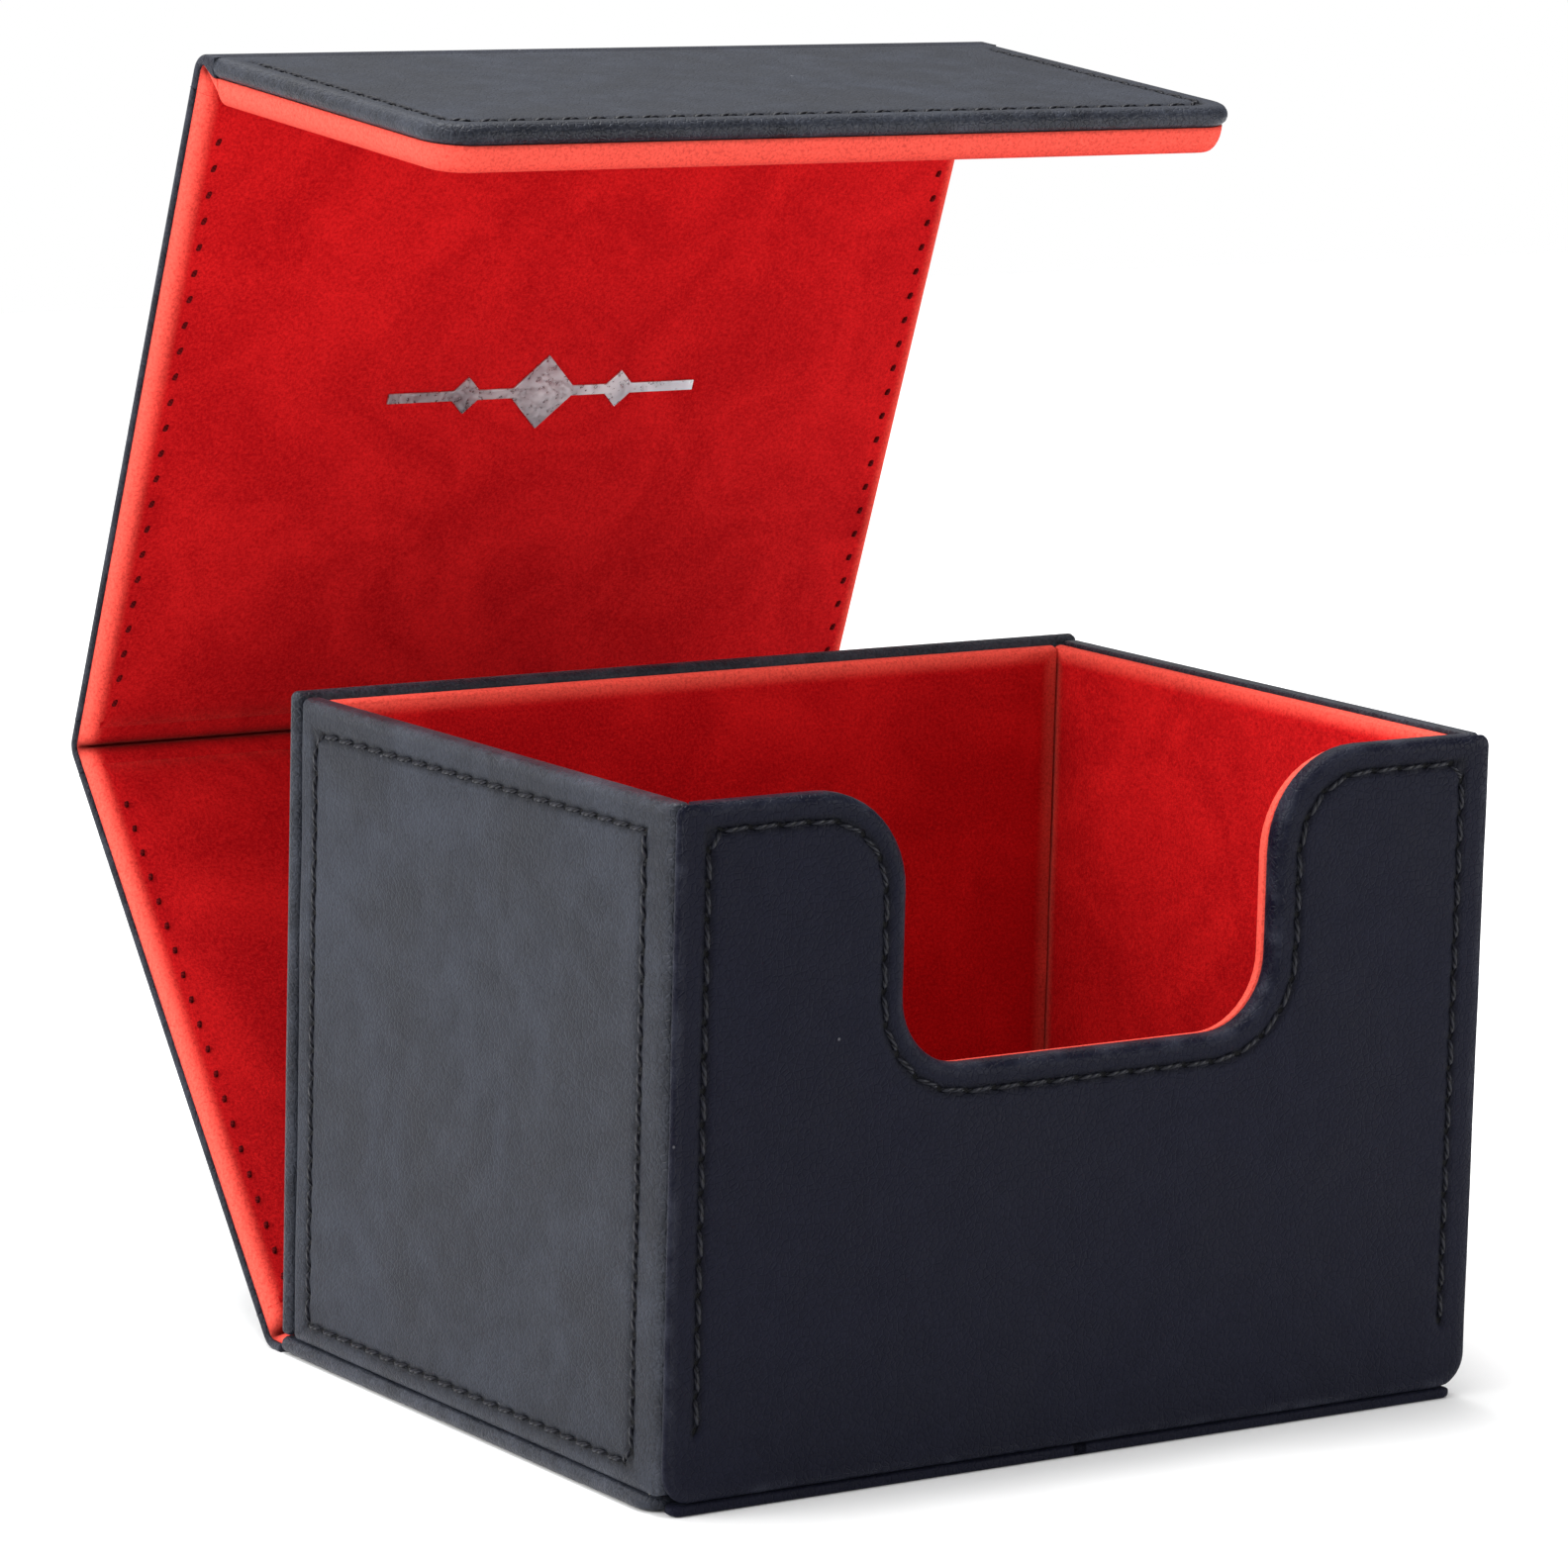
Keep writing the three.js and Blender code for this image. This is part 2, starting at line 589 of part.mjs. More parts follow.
function flapPanel() {
  const group = new THREE.Group();
  group.position.y = FOLD_DEPTH;
  const outline = lidOutline(FLAP_LENGTH, FLAP_CORNER);
  const row = seam((width) => ring(outline, FLAP_SEAM_INSET, width), 0, 1);
  // The row runs round the flap's ends and free edge, and stops short of the fold.
  const start = FOLD_REACH + FLAP_SEAM_INSET + LID_CORNER;
  const nearFold = plate(rectangle(-LID_WIDTH, LID_WIDTH, 0, start), -2, GROOVE_DEPTH + 2);
  const [first, second] = magnets(FLAP_MAGNET_Z, FLAP_BOARD);
  const holes = [first.hole, second.hole];
  const red = lining(outline(LINING_SETBACK), FLAP_BOARD, FLAP_LINING);

  group.add(mesh("flap_cover", cover(outline, FLAP_BOARD, cut(row.groove, nearFold)), LEATHER_BLACK));
  group.add(mesh("flap_board", stiffener(outline, FLAP_BOARD, ...holes), GREYBOARD));
  group.add(mesh("flap_lining", red, LINING_RED));
  group.add(mesh("flap_magnet_left", first.body, NICKEL));
  group.add(mesh("flap_magnet_right", second.body, NICKEL));
  group.add(mesh("flap_thread", cut(row.thread, nearFold), THREAD_GREY));
  return group;
}

// A frame on a fold axis: `reach` along the panel before it, leaning `lean` degrees further in.
function foldFrame(y, z, lean) {
  const frame = new THREE.Group();
  frame.position.set(0, y, z);
  frame.rotation.x = THREE.MathUtils.degToRad(lean);
  return frame;
}

// ---------------------------------------------------------------- assembly

const root = new THREE.Group();

const tray = new THREE.Group();
tray.add(frontPanel(), sideWall("left"), sideWall("right"), backWall(), base(), frontFold());
root.add(tray);

// The fold at the tray's rear: its first panel is the base, which lies flat and points to the rear.
const rearFold = foldFrame(HINGE_Y, HINGE_Z, -90);
rearFold.add(...fold("rear", LID_BACK_LEAN + 90, BASE_REACH, FOLD_REACH));
root.add(rearFold);

const lidBack = foldFrame(HINGE_Y, HINGE_Z, LID_BACK_LEAN);
lidBack.add(lidPanel("lid_back", BACK_SPAN));
root.add(lidBack);

const middleFold = foldFrame(0, BACK_SPAN, 0);
middleFold.add(...fold("middle", LID_TOP_LEAN - LID_BACK_LEAN, FOLD_REACH, FOLD_REACH));
lidBack.add(middleFold);

const lidTop = foldFrame(0, BACK_SPAN, LID_TOP_LEAN - LID_BACK_LEAN);
lidTop.add(lidTopPanel());
lidBack.add(lidTop);

const topFold = foldFrame(0, TOP_SPAN, 0);
topFold.add(...fold("top", FLAP_LEAN - LID_TOP_LEAN, FOLD_REACH, FOLD_REACH));
lidTop.add(topFold);

const flap = foldFrame(0, TOP_SPAN, FLAP_LEAN - LID_TOP_LEAN);
flap.add(flapPanel());
lidTop.add(flap);

export default root;
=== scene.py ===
# %% [markdown]
# # Dressing a card deck box
# A case-made box for trading cards: a leather covered tray with a thumb notch, and a lid of three
# stiff panels joined by soft folds, lined with red microfibre. The frame already holds every piece
# as a plain solid, in the right place and on the right hinge. This lesson builds the leather, the
# lining and the sewing over it.

# %% Load the frame
import json

import bmesh
import bpy
import numpy as np
from mathutils import Matrix, Vector


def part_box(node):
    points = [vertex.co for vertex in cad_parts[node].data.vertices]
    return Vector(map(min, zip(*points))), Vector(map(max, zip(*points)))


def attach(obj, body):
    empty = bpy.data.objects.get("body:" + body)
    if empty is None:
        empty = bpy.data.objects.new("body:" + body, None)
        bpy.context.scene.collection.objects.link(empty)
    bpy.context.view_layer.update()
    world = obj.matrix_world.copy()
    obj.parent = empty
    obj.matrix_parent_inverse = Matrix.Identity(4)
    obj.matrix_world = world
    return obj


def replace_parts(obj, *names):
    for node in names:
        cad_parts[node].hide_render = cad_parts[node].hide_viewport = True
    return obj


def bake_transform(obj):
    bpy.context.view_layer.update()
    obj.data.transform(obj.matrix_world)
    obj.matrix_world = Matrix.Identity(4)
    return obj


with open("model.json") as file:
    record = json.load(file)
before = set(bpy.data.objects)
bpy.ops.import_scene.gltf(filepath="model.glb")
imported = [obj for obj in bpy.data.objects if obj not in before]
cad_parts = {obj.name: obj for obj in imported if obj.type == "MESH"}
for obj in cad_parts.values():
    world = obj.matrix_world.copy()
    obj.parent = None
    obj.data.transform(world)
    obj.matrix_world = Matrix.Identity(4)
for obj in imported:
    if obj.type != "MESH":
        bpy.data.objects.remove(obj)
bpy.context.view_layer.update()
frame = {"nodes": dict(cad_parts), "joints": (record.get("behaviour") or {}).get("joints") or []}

# %% [markdown]
# ## Where each panel stands
# Every panel of the box is a flat board, so each gets its own ruler: u runs across it, v along it,
# and depth from its outer face towards the inside. Lengths in the lesson are millimetres, and one
# function turns (u, v, depth) into the frame's metres. Working flat and placing afterwards keeps
# every shape simple, however far the lid leans.

# %% A ruler for each panel
MM = 0.001
LEATHER = 0.9  # thickness of the covering leather
PROUD = 0.35  # how far the side walls' faces swell past the front panel's ends


def ruler(origin, across, along, outward):
    """A panel's own axes: a corner point in metres, and three unit directions."""
    return [np.array(part, float) for part in (origin, across, along, outward)]


def in_frame(place, points):
    """(u, v, depth) in mm to metres: origin + u * across + v * along - depth * outward."""
    origin, across, along, outward = place
    u, v, depth = np.moveaxis(np.asarray(points, float) * MM, -1, 0)[..., None]
    return origin + u * across + v * along - depth * outward


def measured(node, place):
    """Lowest and highest (u, v, depth) of a frame node, in mm, read with a panel's ruler."""
    mesh = frame["nodes"][node].data
    points = np.empty(len(mesh.vertices) * 3)
    mesh.vertices.foreach_get("co", points)
    origin, across, along, outward = place
    local = (points.reshape(-1, 3) - origin) @ np.stack([across, along, -outward], 1) / MM
    return local.min(0), local.max(0)


X, Y, Z = np.eye(3)
PLACE = {
    "front": ruler((0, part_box("front_cover")[0].y, 0), X, Z, -Y),
    "left": ruler((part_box("left_cover")[0].x - PROUD * MM, 0, 0), -Y, Z, -X),
    "right": ruler((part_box("right_cover")[1].x + PROUD * MM, 0, 0), Y, Z, X),
    "back": ruler((0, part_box("back_cover")[1].y, 0), -X, Z, Y),
    "base": ruler((0, 0, 0), -X, Y, -Z),
}

# The hinges say how the lid leans: its back panel by the first joint's upper limit, which shuts it
# upright, and each later panel by how far it still is from a right angle with the one before.
JOINTS = {joint["name"]: joint for joint in frame["joints"]}
lean = 0.0
for name, joint, square in (
    ("lid_back", "lid_back_hinge", 0),
    ("lid_top", "lid_top_hinge", 90),
    ("flap", "flap_hinge", 90),
):
    lean += square - JOINTS[joint]["range_deg"][1]
    sine, cosine = np.sin(np.radians(lean)), np.cos(np.radians(lean))
    outward = np.array([0, cosine, sine])
    hinge = np.array(JOINTS[joint]["pos_m"]) + outward * LEATHER * MM
    PLACE[name] = ruler(hinge, -X, (0, -sine, cosine), outward)
    print(f"{name} leans {lean:.1f} degrees forward of upright")

# %% [markdown]
# ## Outlines that can shrink
# A covered board has a rounded rim all the way round. The easiest way to make one is to carry a
# small profile round the board's outline, and for that the outline has to be known at every
# distance from the edge. All corners are square before they are rounded, so shrinking is exact:
# each edge moves in by its own inset, and each corner's radius shrinks (or grows, in the notch).


# %% The outline of a board
class Outline:
    """An anticlockwise outline with right-angled corners, each rounded by its own radius."""

    def __init__(self, corners, radii, spacing=0.8, steps=7):
        self.corners = np.array(corners, float)
        self.radii = np.array(radii, float)
        ahead = np.roll(self.corners, -1, 0) - self.corners
        length = np.linalg.norm(ahead, axis=1)
        self.heading = ahead / length[:, None]
        self.inward = np.stack([-self.heading[:, 1], self.heading[:, 0]], 1)
        back = np.roll(self.heading, 1, 0)
        self.turn = back[:, 0] * self.heading[:, 1] - back[:, 1] * self.heading[:, 0]
        self.counts = np.maximum(np.ceil(length / spacing).astype(int), 2)
        self.steps = steps

    def ring(self, insets):
        """Points round the outline when edge e has moved in by insets[e]. A corner is an arc about
        a centre one radius inside both edges; an edge is evenly divided between two arcs."""
        insets = np.broadcast_to(np.asarray(insets, float), len(self.corners))
        before = np.roll(insets, 1)
        back, side = np.roll(self.heading, 1, 0), np.roll(self.inward, 1, 0)
        tip = self.corners + side * before[:, None] + self.inward * insets[:, None]
        radius = np.maximum(self.radii - self.turn * np.minimum(before, insets), 0)[:, None]
        centre = tip - back * radius + side * radius * self.turn[:, None]
        swing = np.linspace(0, np.pi / 2, self.steps + 1)[None, :, None]
        arms = -(side * radius * self.turn[:, None])[:, None] * np.cos(swing)
        arcs = centre[:, None] + arms + (back * radius)[:, None] * np.sin(swing)
        parts = []
        for e, count in enumerate(self.counts):
            start, end = arcs[e, -1], arcs[(e + 1) % len(arcs), 0]
            share = np.arange(1, count)[:, None] / count
            parts += [arcs[e], start + (end - start) * share]
        return np.concatenate(parts)

    def mix(self, values):
        """One value per edge to one per point: constant along an edge, and turning from one edge's
        value to the next round a corner."""
        values = np.broadcast_to(np.asarray(values, float), len(self.corners))
        share = np.linspace(0, 1, self.steps + 1)
        parts = []
        for e, count in enumerate(self.counts):
            parts += [values[e - 1] * (1 - share) + values[e] * share]
            parts += [np.full(count - 1, values[e])]
        return np.concatenate(parts)


def oblong(low, high, radii, spacing=0.8):
    """A rectangle from a lowest and a highest (u, v). Its first edge is the bottom one."""
    (left, bottom), (right, top) = low[:2], high[:2]
    corners = [(left, bottom), (right, bottom), (right, top), (left, top)]
    return Outline(corners, np.broadcast_to(radii, 4), spacing)


# %% [markdown]
# ## From grids to meshes
# Each surface arrives as grids of points. Neighbouring grids share their border points, so joining
# them, merging the doubles and turning the normals outwards gives one closed shell. Two facts stay
# with the surface for the materials: how far each point is from the panel's edge, and a seam map
# that counts stitches one way and millimetres from the seam the other way.


# %% Turn grids into a piece
FAR = 20.0  # mm off a seam that stand for no seam at all
NO_SEAM = np.array([0.5, FAR])  # a seam map value far from any stitch
CREASE = -FAR  # and one for the bottom of a fold's crease, which is as far on the other side
IN_FOLD = 9.0  # mm added to the inset of an edge that runs into a fold, so that it isn't worn


def closed(rings):
    """Repeats the first column of a grid at its end, so that the grid joins up round a ring."""
    return np.concatenate([rings, rings[:, :1]], 1)


def built(name, points, faces, seam_map, materials, doubles, slivers=0.0, inset=None, kinds=None):
    """An object from points in metres and faces. The seam map becomes a UV map, inset an attribute
    and kinds the material of each face. Points within `doubles` metres become one, and edges
    shorter than `slivers` are dissolved."""
    mesh = bpy.data.meshes.new(name)
    mesh.from_pydata(points, [], faces)
    if inset is not None:
        values = mesh.attributes.new("inset", "FLOAT", "POINT").data
        values.foreach_set("value", inset.astype(np.float32))
    if kinds is not None:
        mesh.polygons.foreach_set("material_index", kinds)
    corner = np.empty(len(mesh.loops), int)
    mesh.loops.foreach_get("vertex_index", corner)
    uv = mesh.uv_layers.new(name="seam")
    uv.data.foreach_set("uv", seam_map[corner].astype(np.float32).ravel())
    tidy = bmesh.new()
    tidy.from_mesh(mesh)
    bmesh.ops.remove_doubles(tidy, verts=tidy.verts, dist=doubles)
    if slivers:
        bmesh.ops.dissolve_degenerate(tidy, edges=tidy.edges, dist=slivers)
    bmesh.ops.recalc_face_normals(tidy, faces=tidy.faces)
    tidy.to_mesh(mesh)
    tidy.free()
    mesh.shade_smooth()
    for finish in materials:
        mesh.materials.append(finish)
    made = bpy.data.objects.new(name, mesh)
    bpy.context.scene.collection.objects.link(made)
    return made


def piece(name, place, grids, lids=(), material=None):
    """Joins grids into one mesh. A grid is (points, inset, seam map); a lid is a flat ring that is
    filled with one face."""
    points, insets, maps, faces, start = [], [], [], [], 0
    for grid, inset, seam_map in grids:
        rows, columns = grid.shape[:2]
        index = start + np.arange(rows * columns).reshape(rows, columns)
        quads = [index[:-1, :-1], index[:-1, 1:], index[1:, 1:], index[1:, :-1]]
        faces += np.stack(quads, -1).reshape(-1, 4).tolist()
        points.append(in_frame(place, grid).reshape(-1, 3))
        insets.append(np.broadcast_to(inset, (rows, columns)).ravel())
        maps.append(np.broadcast_to(seam_map, (rows, columns, 2)).reshape(-1, 2))
        start += rows * columns
    for ring, inset in lids:
        faces.append(list(range(start, start + len(ring))))
        points.append(in_frame(place, ring))
        insets.append(np.full(len(ring), float(inset)))
        maps.append(np.tile(NO_SEAM, (len(ring), 1)))
        start += len(ring)

    made = built(
        name, np.concatenate(points), faces, np.concatenate(maps), [material] if material else [],
        doubles=2e-6, slivers=1e-6, inset=np.concatenate(insets),
    )  # fmt: skip
    print(f"{name}: {len(made.data.vertices)} points, {len(made.data.polygons)} faces")
    return made



# %% [markdown]
# ## Seams
# A sewing machine punches holes at an even pitch and pulls the thread down between them. A seam is
# therefore a line inside the outline, a list of hole positions along it, and a groove that is
# deepest at the holes. The same list later places the stitches.


# %% A seam inside an outline
class Seam:
    """Holes at an even pitch along the outline's ring at `insets`. The seam keeps off the first
    edge, and starts and ends at v = `start`, unless start is None, when it closes on itself."""

    def __init__(self, outline, insets, pitch, start=None):
        self.insets = np.broadcast_to(np.asarray(insets, float), len(outline.corners))
        ring = outline.ring(self.insets)
        loop = np.concatenate([ring, ring[:1]])
        gone = np.concatenate([[0], np.cumsum(np.linalg.norm(np.diff(loop, axis=0), axis=1))])
        first, last = 0.0, gone[-1]
        if start is not None:
            middle = loop[:, 1] > start
            first, last = gone[middle][0], gone[middle][-1]
        self.count = int(round((last - first) / pitch))
        self.pitch = (last - first) / self.count
        at = first + self.pitch * np.arange(self.count + 1)
        self.holes = np.stack([np.interp(at, gone, loop[:, k]) for k in (0, 1)], 1)
        self.along = (gone - first) / self.pitch
        self.off = (self.along < -0.2) | (self.along > self.count + 0.2)

    def map(self, outline, insets):
        """(stitches along, mm off the line) for each point of a ring at `insets`."""
        off = outline.mix(insets) - outline.mix(self.insets)
        off = np.concatenate([off, off[:1]]) + FAR * self.off
        return np.stack([self.along, off], -1)


def groove(seam_map, depth=0.4, width=0.6):
    """How far the leather sinks: a bell across the seam, and along it a wave that is deepest at
    each hole."""
    along, off = seam_map[..., 0], seam_map[..., 1]
    return depth * np.exp(-((off / width) ** 2)) * (0.65 + 0.35 * np.cos(2 * np.pi * along))


def ripple(u, v, seed, size=0.05):
    """A hand-made unevenness, as a depth that is never below 0: three slow waves across a panel."""
    draw = np.random.default_rng(seed)
    total = 0
    for length in (31, 17, 9):
        angle, shift = draw.uniform(0, 2 * np.pi, 2)
        travel = u * np.cos(angle) + v * np.sin(angle)
        total = total + (1 + np.sin(2 * np.pi * travel / length + shift)) * length / 31
    return size * total


# %% [markdown]
# ## A leather cover
# The leather lies flat on the face of the board, rolls over its rim and ends against the lining.
# It is one sheet, so the cover is made as one: the profile runs out along the face, round the roll,
# back under the rim and along the inside, and leaves the pocket for the board.

# %% The cover's profile
REACH = 7.0  # how far in from the edge a profile starts
TURN_IN = 2.0  # the leather turned over the board's inner face
FILM = 0.06  # its thickness there, pared down
TURNED_ROWS = 5  # rings of the profile that make the turned edge and the pocket
ONE_SHEET = 1.2  # a cover that is no deeper has no turned edge


def face_rings(seam, roll):
    """Insets of the rings on a face, one column per edge: wide steps from REACH in, fine ones
    within 1 mm of the seam, and then on to where the rim's roll begins."""
    return np.concatenate([
        np.linspace(np.full(len(roll), REACH), seam + 1, 4)[:-1],
        seam + np.linspace(1, -1, 13)[:, None],
        np.linspace(seam - 1, roll, 4)[1:],
    ])


def cover(name, place, outline, depth, roll, material, seam=None, seed=0, thin=np.inf, folds=0,
          foot=0.35, turn_in=TURN_IN):
    """Profile, from the middle of the face: flat to one `roll` inside the edge, a quarter round of
    that radius, straight down the rim, a quarter round of radius `foot`, a thin turned edge over
    the board, and back along the inside of the sheet. Where |u| is more than `thin` there is only
    the sheet. `folds` is 1 for an edge that runs on into a fold, which has no worn rim."""
    edges = len(outline.corners)
    roll = np.broadcast_to(np.asarray(roll, float), edges)
    bend = outline.mix(roll)
    profile = [(inset, lambda deep: 0 * deep) for inset in face_rings(
        seam.insets if seam else np.full(edges, REACH / 2), roll)]
    flat_count = len(profile)
    for swing in np.radians([15, 30, 45, 60, 75, 90]):
        fall = 1 - np.cos(swing)
        profile.append((
            roll * (1 - np.sin(swing)), lambda deep, fall=fall: np.minimum(bend, deep / 2) * fall
        ))
    for swing in np.radians([0, 30, 60, 90]):
        rise = 1 - np.sin(swing)
        profile.append((
            foot * (1 - np.cos(swing)),
            lambda deep, rise=rise: deep - np.minimum(foot, deep / 2) * rise,
        ))
    if depth > ONE_SHEET:
        profile += [
            (turn_in, lambda deep: deep + FILM), (turn_in, lambda deep: deep + FILM / 3),
            (LEATHER, lambda deep: deep + FILM / 3),
            (LEATHER, lambda deep: 0 * deep + LEATHER), (REACH, lambda deep: 0 * deep + LEATHER),
        ]
    else:
        profile.append((REACH, lambda deep: deep))

    rows, insets, maps = [], [], []
    for step, (inset, down) in enumerate(profile):
        ring = outline.ring(inset)
        deep = np.where(np.abs(ring[:, 0]) > thin, LEATHER, depth)
        seam_map = np.tile(NO_SEAM, (len(ring) + 1, 1))
        sunk = down(deep)
        if step < flat_count and seam:
            seam_map = seam.map(outline, inset)
            sunk = sunk + groove(seam_map)[:-1]
        rows.append(np.column_stack([ring, sunk]))
        insets.append(outline.mix(inset) + IN_FOLD * outline.mix(folds))
        maps.append(seam_map)
    rows, insets = np.array(rows), np.array(insets)
    # The face wanders more and more towards its rim. A fold's sheet is flat, to meet the fold.
    if not np.any(folds):
        fade = np.clip(np.arange(len(rows)) / flat_count, 0, 1)[:, None]
        wander = fade * ripple(rows[..., 0], rows[..., 1], seed)
        face = rows[:-TURNED_ROWS]
        face[..., 2] += wander[:-TURNED_ROWS] * np.clip(1 - face[..., 2] / 0.8, 0, 1)
    grids = [(closed(rows), closed(insets), np.array(maps))]
    return piece(name, place, grids, [(rows[0], REACH), (rows[-1], REACH)], material)


# %% [markdown]
# ## Materials: the shared effects
# The leathers share clouds of lighter colour with a fine grain, wear along the rims, the pricks of
# a seam with painted shade in their holes and along their groove, and a little lint. Microfibre has
# its nap and thread has its twist, with painted shade between its plies. Each effect is a node
# group with named sockets, built once and placed in every material that needs it. The shaders
# themselves stay in the materials.


# %% Helpers for node trees
def put(tree, kind, settings=(), **inputs):
    """Adds a node. Inputs are named by their socket, and are values or other nodes' sockets."""
    made = tree.nodes.new("ShaderNode" + kind)
    for name, value in dict(settings).items():
        setattr(made, name, value)
    for name, value in inputs.items():
        key = int(name[1:]) if name[0] == "i" and name[1:].isdigit() else name.replace("_", " ")
        if isinstance(value, bpy.types.NodeSocket):
            tree.links.new(value, made.inputs[key])
        else:
            made.inputs[key].default_value = value
    return made


def sums(tree, operation, a, b=0.0, c=0.0):
    """A Math node's result."""
    return put(tree, "Math", {"operation": operation}, i0=a, i1=b, i2=c).outputs[0]


def blended(tree, share, a, b, how="MIX"):
    """Colour a turning into colour b."""
    settings = {"data_type": "RGBA", "blend_type": how}
    return put(tree, "Mix", settings, i0=share, i6=a, i7=b).outputs[2]


def between(tree, value, low, high, to_low=0.0, to_high=1.0):
    """A smooth step from to_low, where value is low, to to_high, where it is high."""
    settings = {"interpolation_type": "SMOOTHSTEP"}
    stops = dict(From_Min=low, From_Max=high, To_Min=to_low, To_Max=to_high)
    return put(tree, "MapRange", settings, Value=value, **stops).outputs[0]


def noise(tree, where, scale, detail=2.0, roughness=0.5, distortion=0.0):
    """Noise on a position, from 0 to 1, with `scale` features to the metre."""
    made = put(
        tree, "TexNoise", {}, Vector=where, Scale=scale, Detail=detail, Roughness=roughness,
        Distortion=distortion,
    )
    return made.outputs[0]


def group(name, inputs, outputs):
    """An empty node group with named sockets: inputs are (name, value), outputs (name, kind)."""
    tree = bpy.data.node_groups.new(name, "ShaderNodeTree")
    for label, value in inputs:
        kind = "Color" if isinstance(value, tuple) and len(value) == 4 else "Float"
        if value is None:
            kind = "Vector"
        made = tree.interface.new_socket(
            name=label, in_out="INPUT", socket_type="NodeSocket" + kind
        )
        if value is not None:
            made.default_value = value
    for label, kind in outputs:
        tree.interface.new_socket(name=label, in_out="OUTPUT", socket_type="NodeSocket" + kind)
    return tree, tree.nodes.new("NodeGroupInput").outputs, tree.nodes.new("NodeGroupOutput").inputs


def use(tree, name, **inputs):
    """Places a group in a material and returns its outputs."""
    made = put(tree, "Group", {"node_tree": bpy.data.node_groups[name]}, **inputs)
    return made.outputs


def colour(red, green, blue):
    """A screen colour from 0 to 255 as the linear colour that nodes take."""
    screen = np.array([red, green, blue]) / 255
    linear = np.where(screen > 0.04045, ((screen + 0.055) / 1.055) ** 2.4, screen / 12.92)
    return (*linear.tolist(), 1.0)


# %% Build the shared groups
def build_clouds():
    """Pulled-up leather: slow clouds of the lighter colour, with a fine grain over them."""
    tree, given, result = group(
        "leather clouds",
        [("Position", None), ("Dark", (0, 0, 0, 1)), ("Light", (1, 1, 1, 1)), ("Amount", 0.5),
         ("Cloud scale", 45.0), ("Grain scale", 3000.0), ("Grain", 1.3)],
        [("Color", "Color"), ("Roughness", "Float"), ("Height", "Float")],
    )
    where = given["Position"]
    slow = noise(tree, where, given["Cloud scale"], 3, 0.55, 0.6)
    middle = noise(tree, where, sums(tree, "MULTIPLY", given["Cloud scale"], 4.5), 3, 0.6)
    cloud = between(tree, sums(tree, "MULTIPLY_ADD", middle, 0.6, slow), 0.5, 1.15)
    fine = noise(tree, where, given["Grain scale"], 3, 0.65)
    pores = put(
        tree, "TexVoronoi", {"feature": "DISTANCE_TO_EDGE"}, Vector=where,
        Scale=sums(tree, "MULTIPLY", given["Grain scale"], 0.45),
    ).outputs[0]
    crease = between(tree, pores, 0.0, 0.16)
    share = sums(tree, "MULTIPLY", cloud, given["Amount"])
    speckle = sums(tree, "MULTIPLY", sums(tree, "SUBTRACT", fine, 0.5), given["Grain"])
    share = sums(tree, "ADD", share, speckle)
    share = put(tree, "Clamp", {}, Value=share).outputs[0]
    tree.links.new(blended(tree, share, given["Dark"], given["Light"]), result["Color"])
    rough = between(tree, sums(tree, "ADD", slow, fine), 0.6, 1.4, 0.52, 0.72)
    tree.links.new(rough, result["Roughness"])
    height = sums(tree, "MULTIPLY_ADD", fine, 0.6, sums(tree, "MULTIPLY", crease, 0.4))
    tree.links.new(height, result["Height"])


def build_wear():
    """Rubbed rims: 1 at the panel's edge, gone one width inside it, and broken up by noise."""
    tree, given, result = group(
        "rim wear",
        [("Position", None), ("Inset", 0.0), ("Width", 1.5), ("Patch scale", 300.0)],
        [("Mask", "Float")],
    )
    near = between(tree, given["Inset"], given["Width"], 0.0)
    patch = between(tree, noise(tree, given["Position"], given["Patch scale"], 4, 0.6), 0.4, 0.7)
    tree.links.new(sums(tree, "MULTIPLY", near, patch), result["Mask"])


def build_pricks():
    """A seam's needle holes as short slanted marks at whole numbers along the seam map, and a band
    along the seam's line: masks for the painted shade in the holes and in the groove.
    """
    tree, given, result = group(
        "seam pricks and shade",
        [("Seam map", None), ("Length", 0.16), ("Width", 0.42), ("Slant", 0.35)],
        [("Hole", "Float"), ("Line", "Float")],
    )
    parts = put(tree, "SeparateXYZ", {}, Vector=given["Seam map"]).outputs
    along = sums(tree, "SUBTRACT", sums(tree, "FRACT", sums(tree, "ADD", parts[0], 0.5)), 0.5)
    slant = sums(tree, "MULTIPLY", given["Slant"], 0.4)
    slanted = sums(tree, "MULTIPLY_ADD", parts[1], slant, along)
    x = sums(tree, "DIVIDE", slanted, given["Length"])
    y = sums(tree, "DIVIDE", parts[1], given["Width"])
    squares = [sums(tree, "MULTIPLY", side, side) for side in (x, y)]
    radius = sums(tree, "SQRT", sums(tree, "ADD", *squares))
    tree.links.new(between(tree, radius, 1.0, 0.55), result["Hole"])
    off = sums(tree, "ABSOLUTE", parts[1])
    tree.links.new(between(tree, off, 1.0, 0.1), result["Line"])


def build_lint():
    """Rare pale specks of lint and dust."""
    tree, given, result = group(
        "lint", [("Position", None), ("Scale", 420.0), ("Share", 0.035)], [("Mask", "Float")]
    )
    cells = put(tree, "TexVoronoi", {}, Vector=given["Position"], Scale=given["Scale"])
    chosen = put(tree, "SeparateColor", {}, Color=cells.outputs["Color"]).outputs[0]
    rare = sums(tree, "LESS_THAN", chosen, given["Share"])
    dot = between(tree, cells.outputs["Distance"], 0.11, 0.05)
    tree.links.new(sums(tree, "MULTIPLY", rare, dot), result["Mask"])


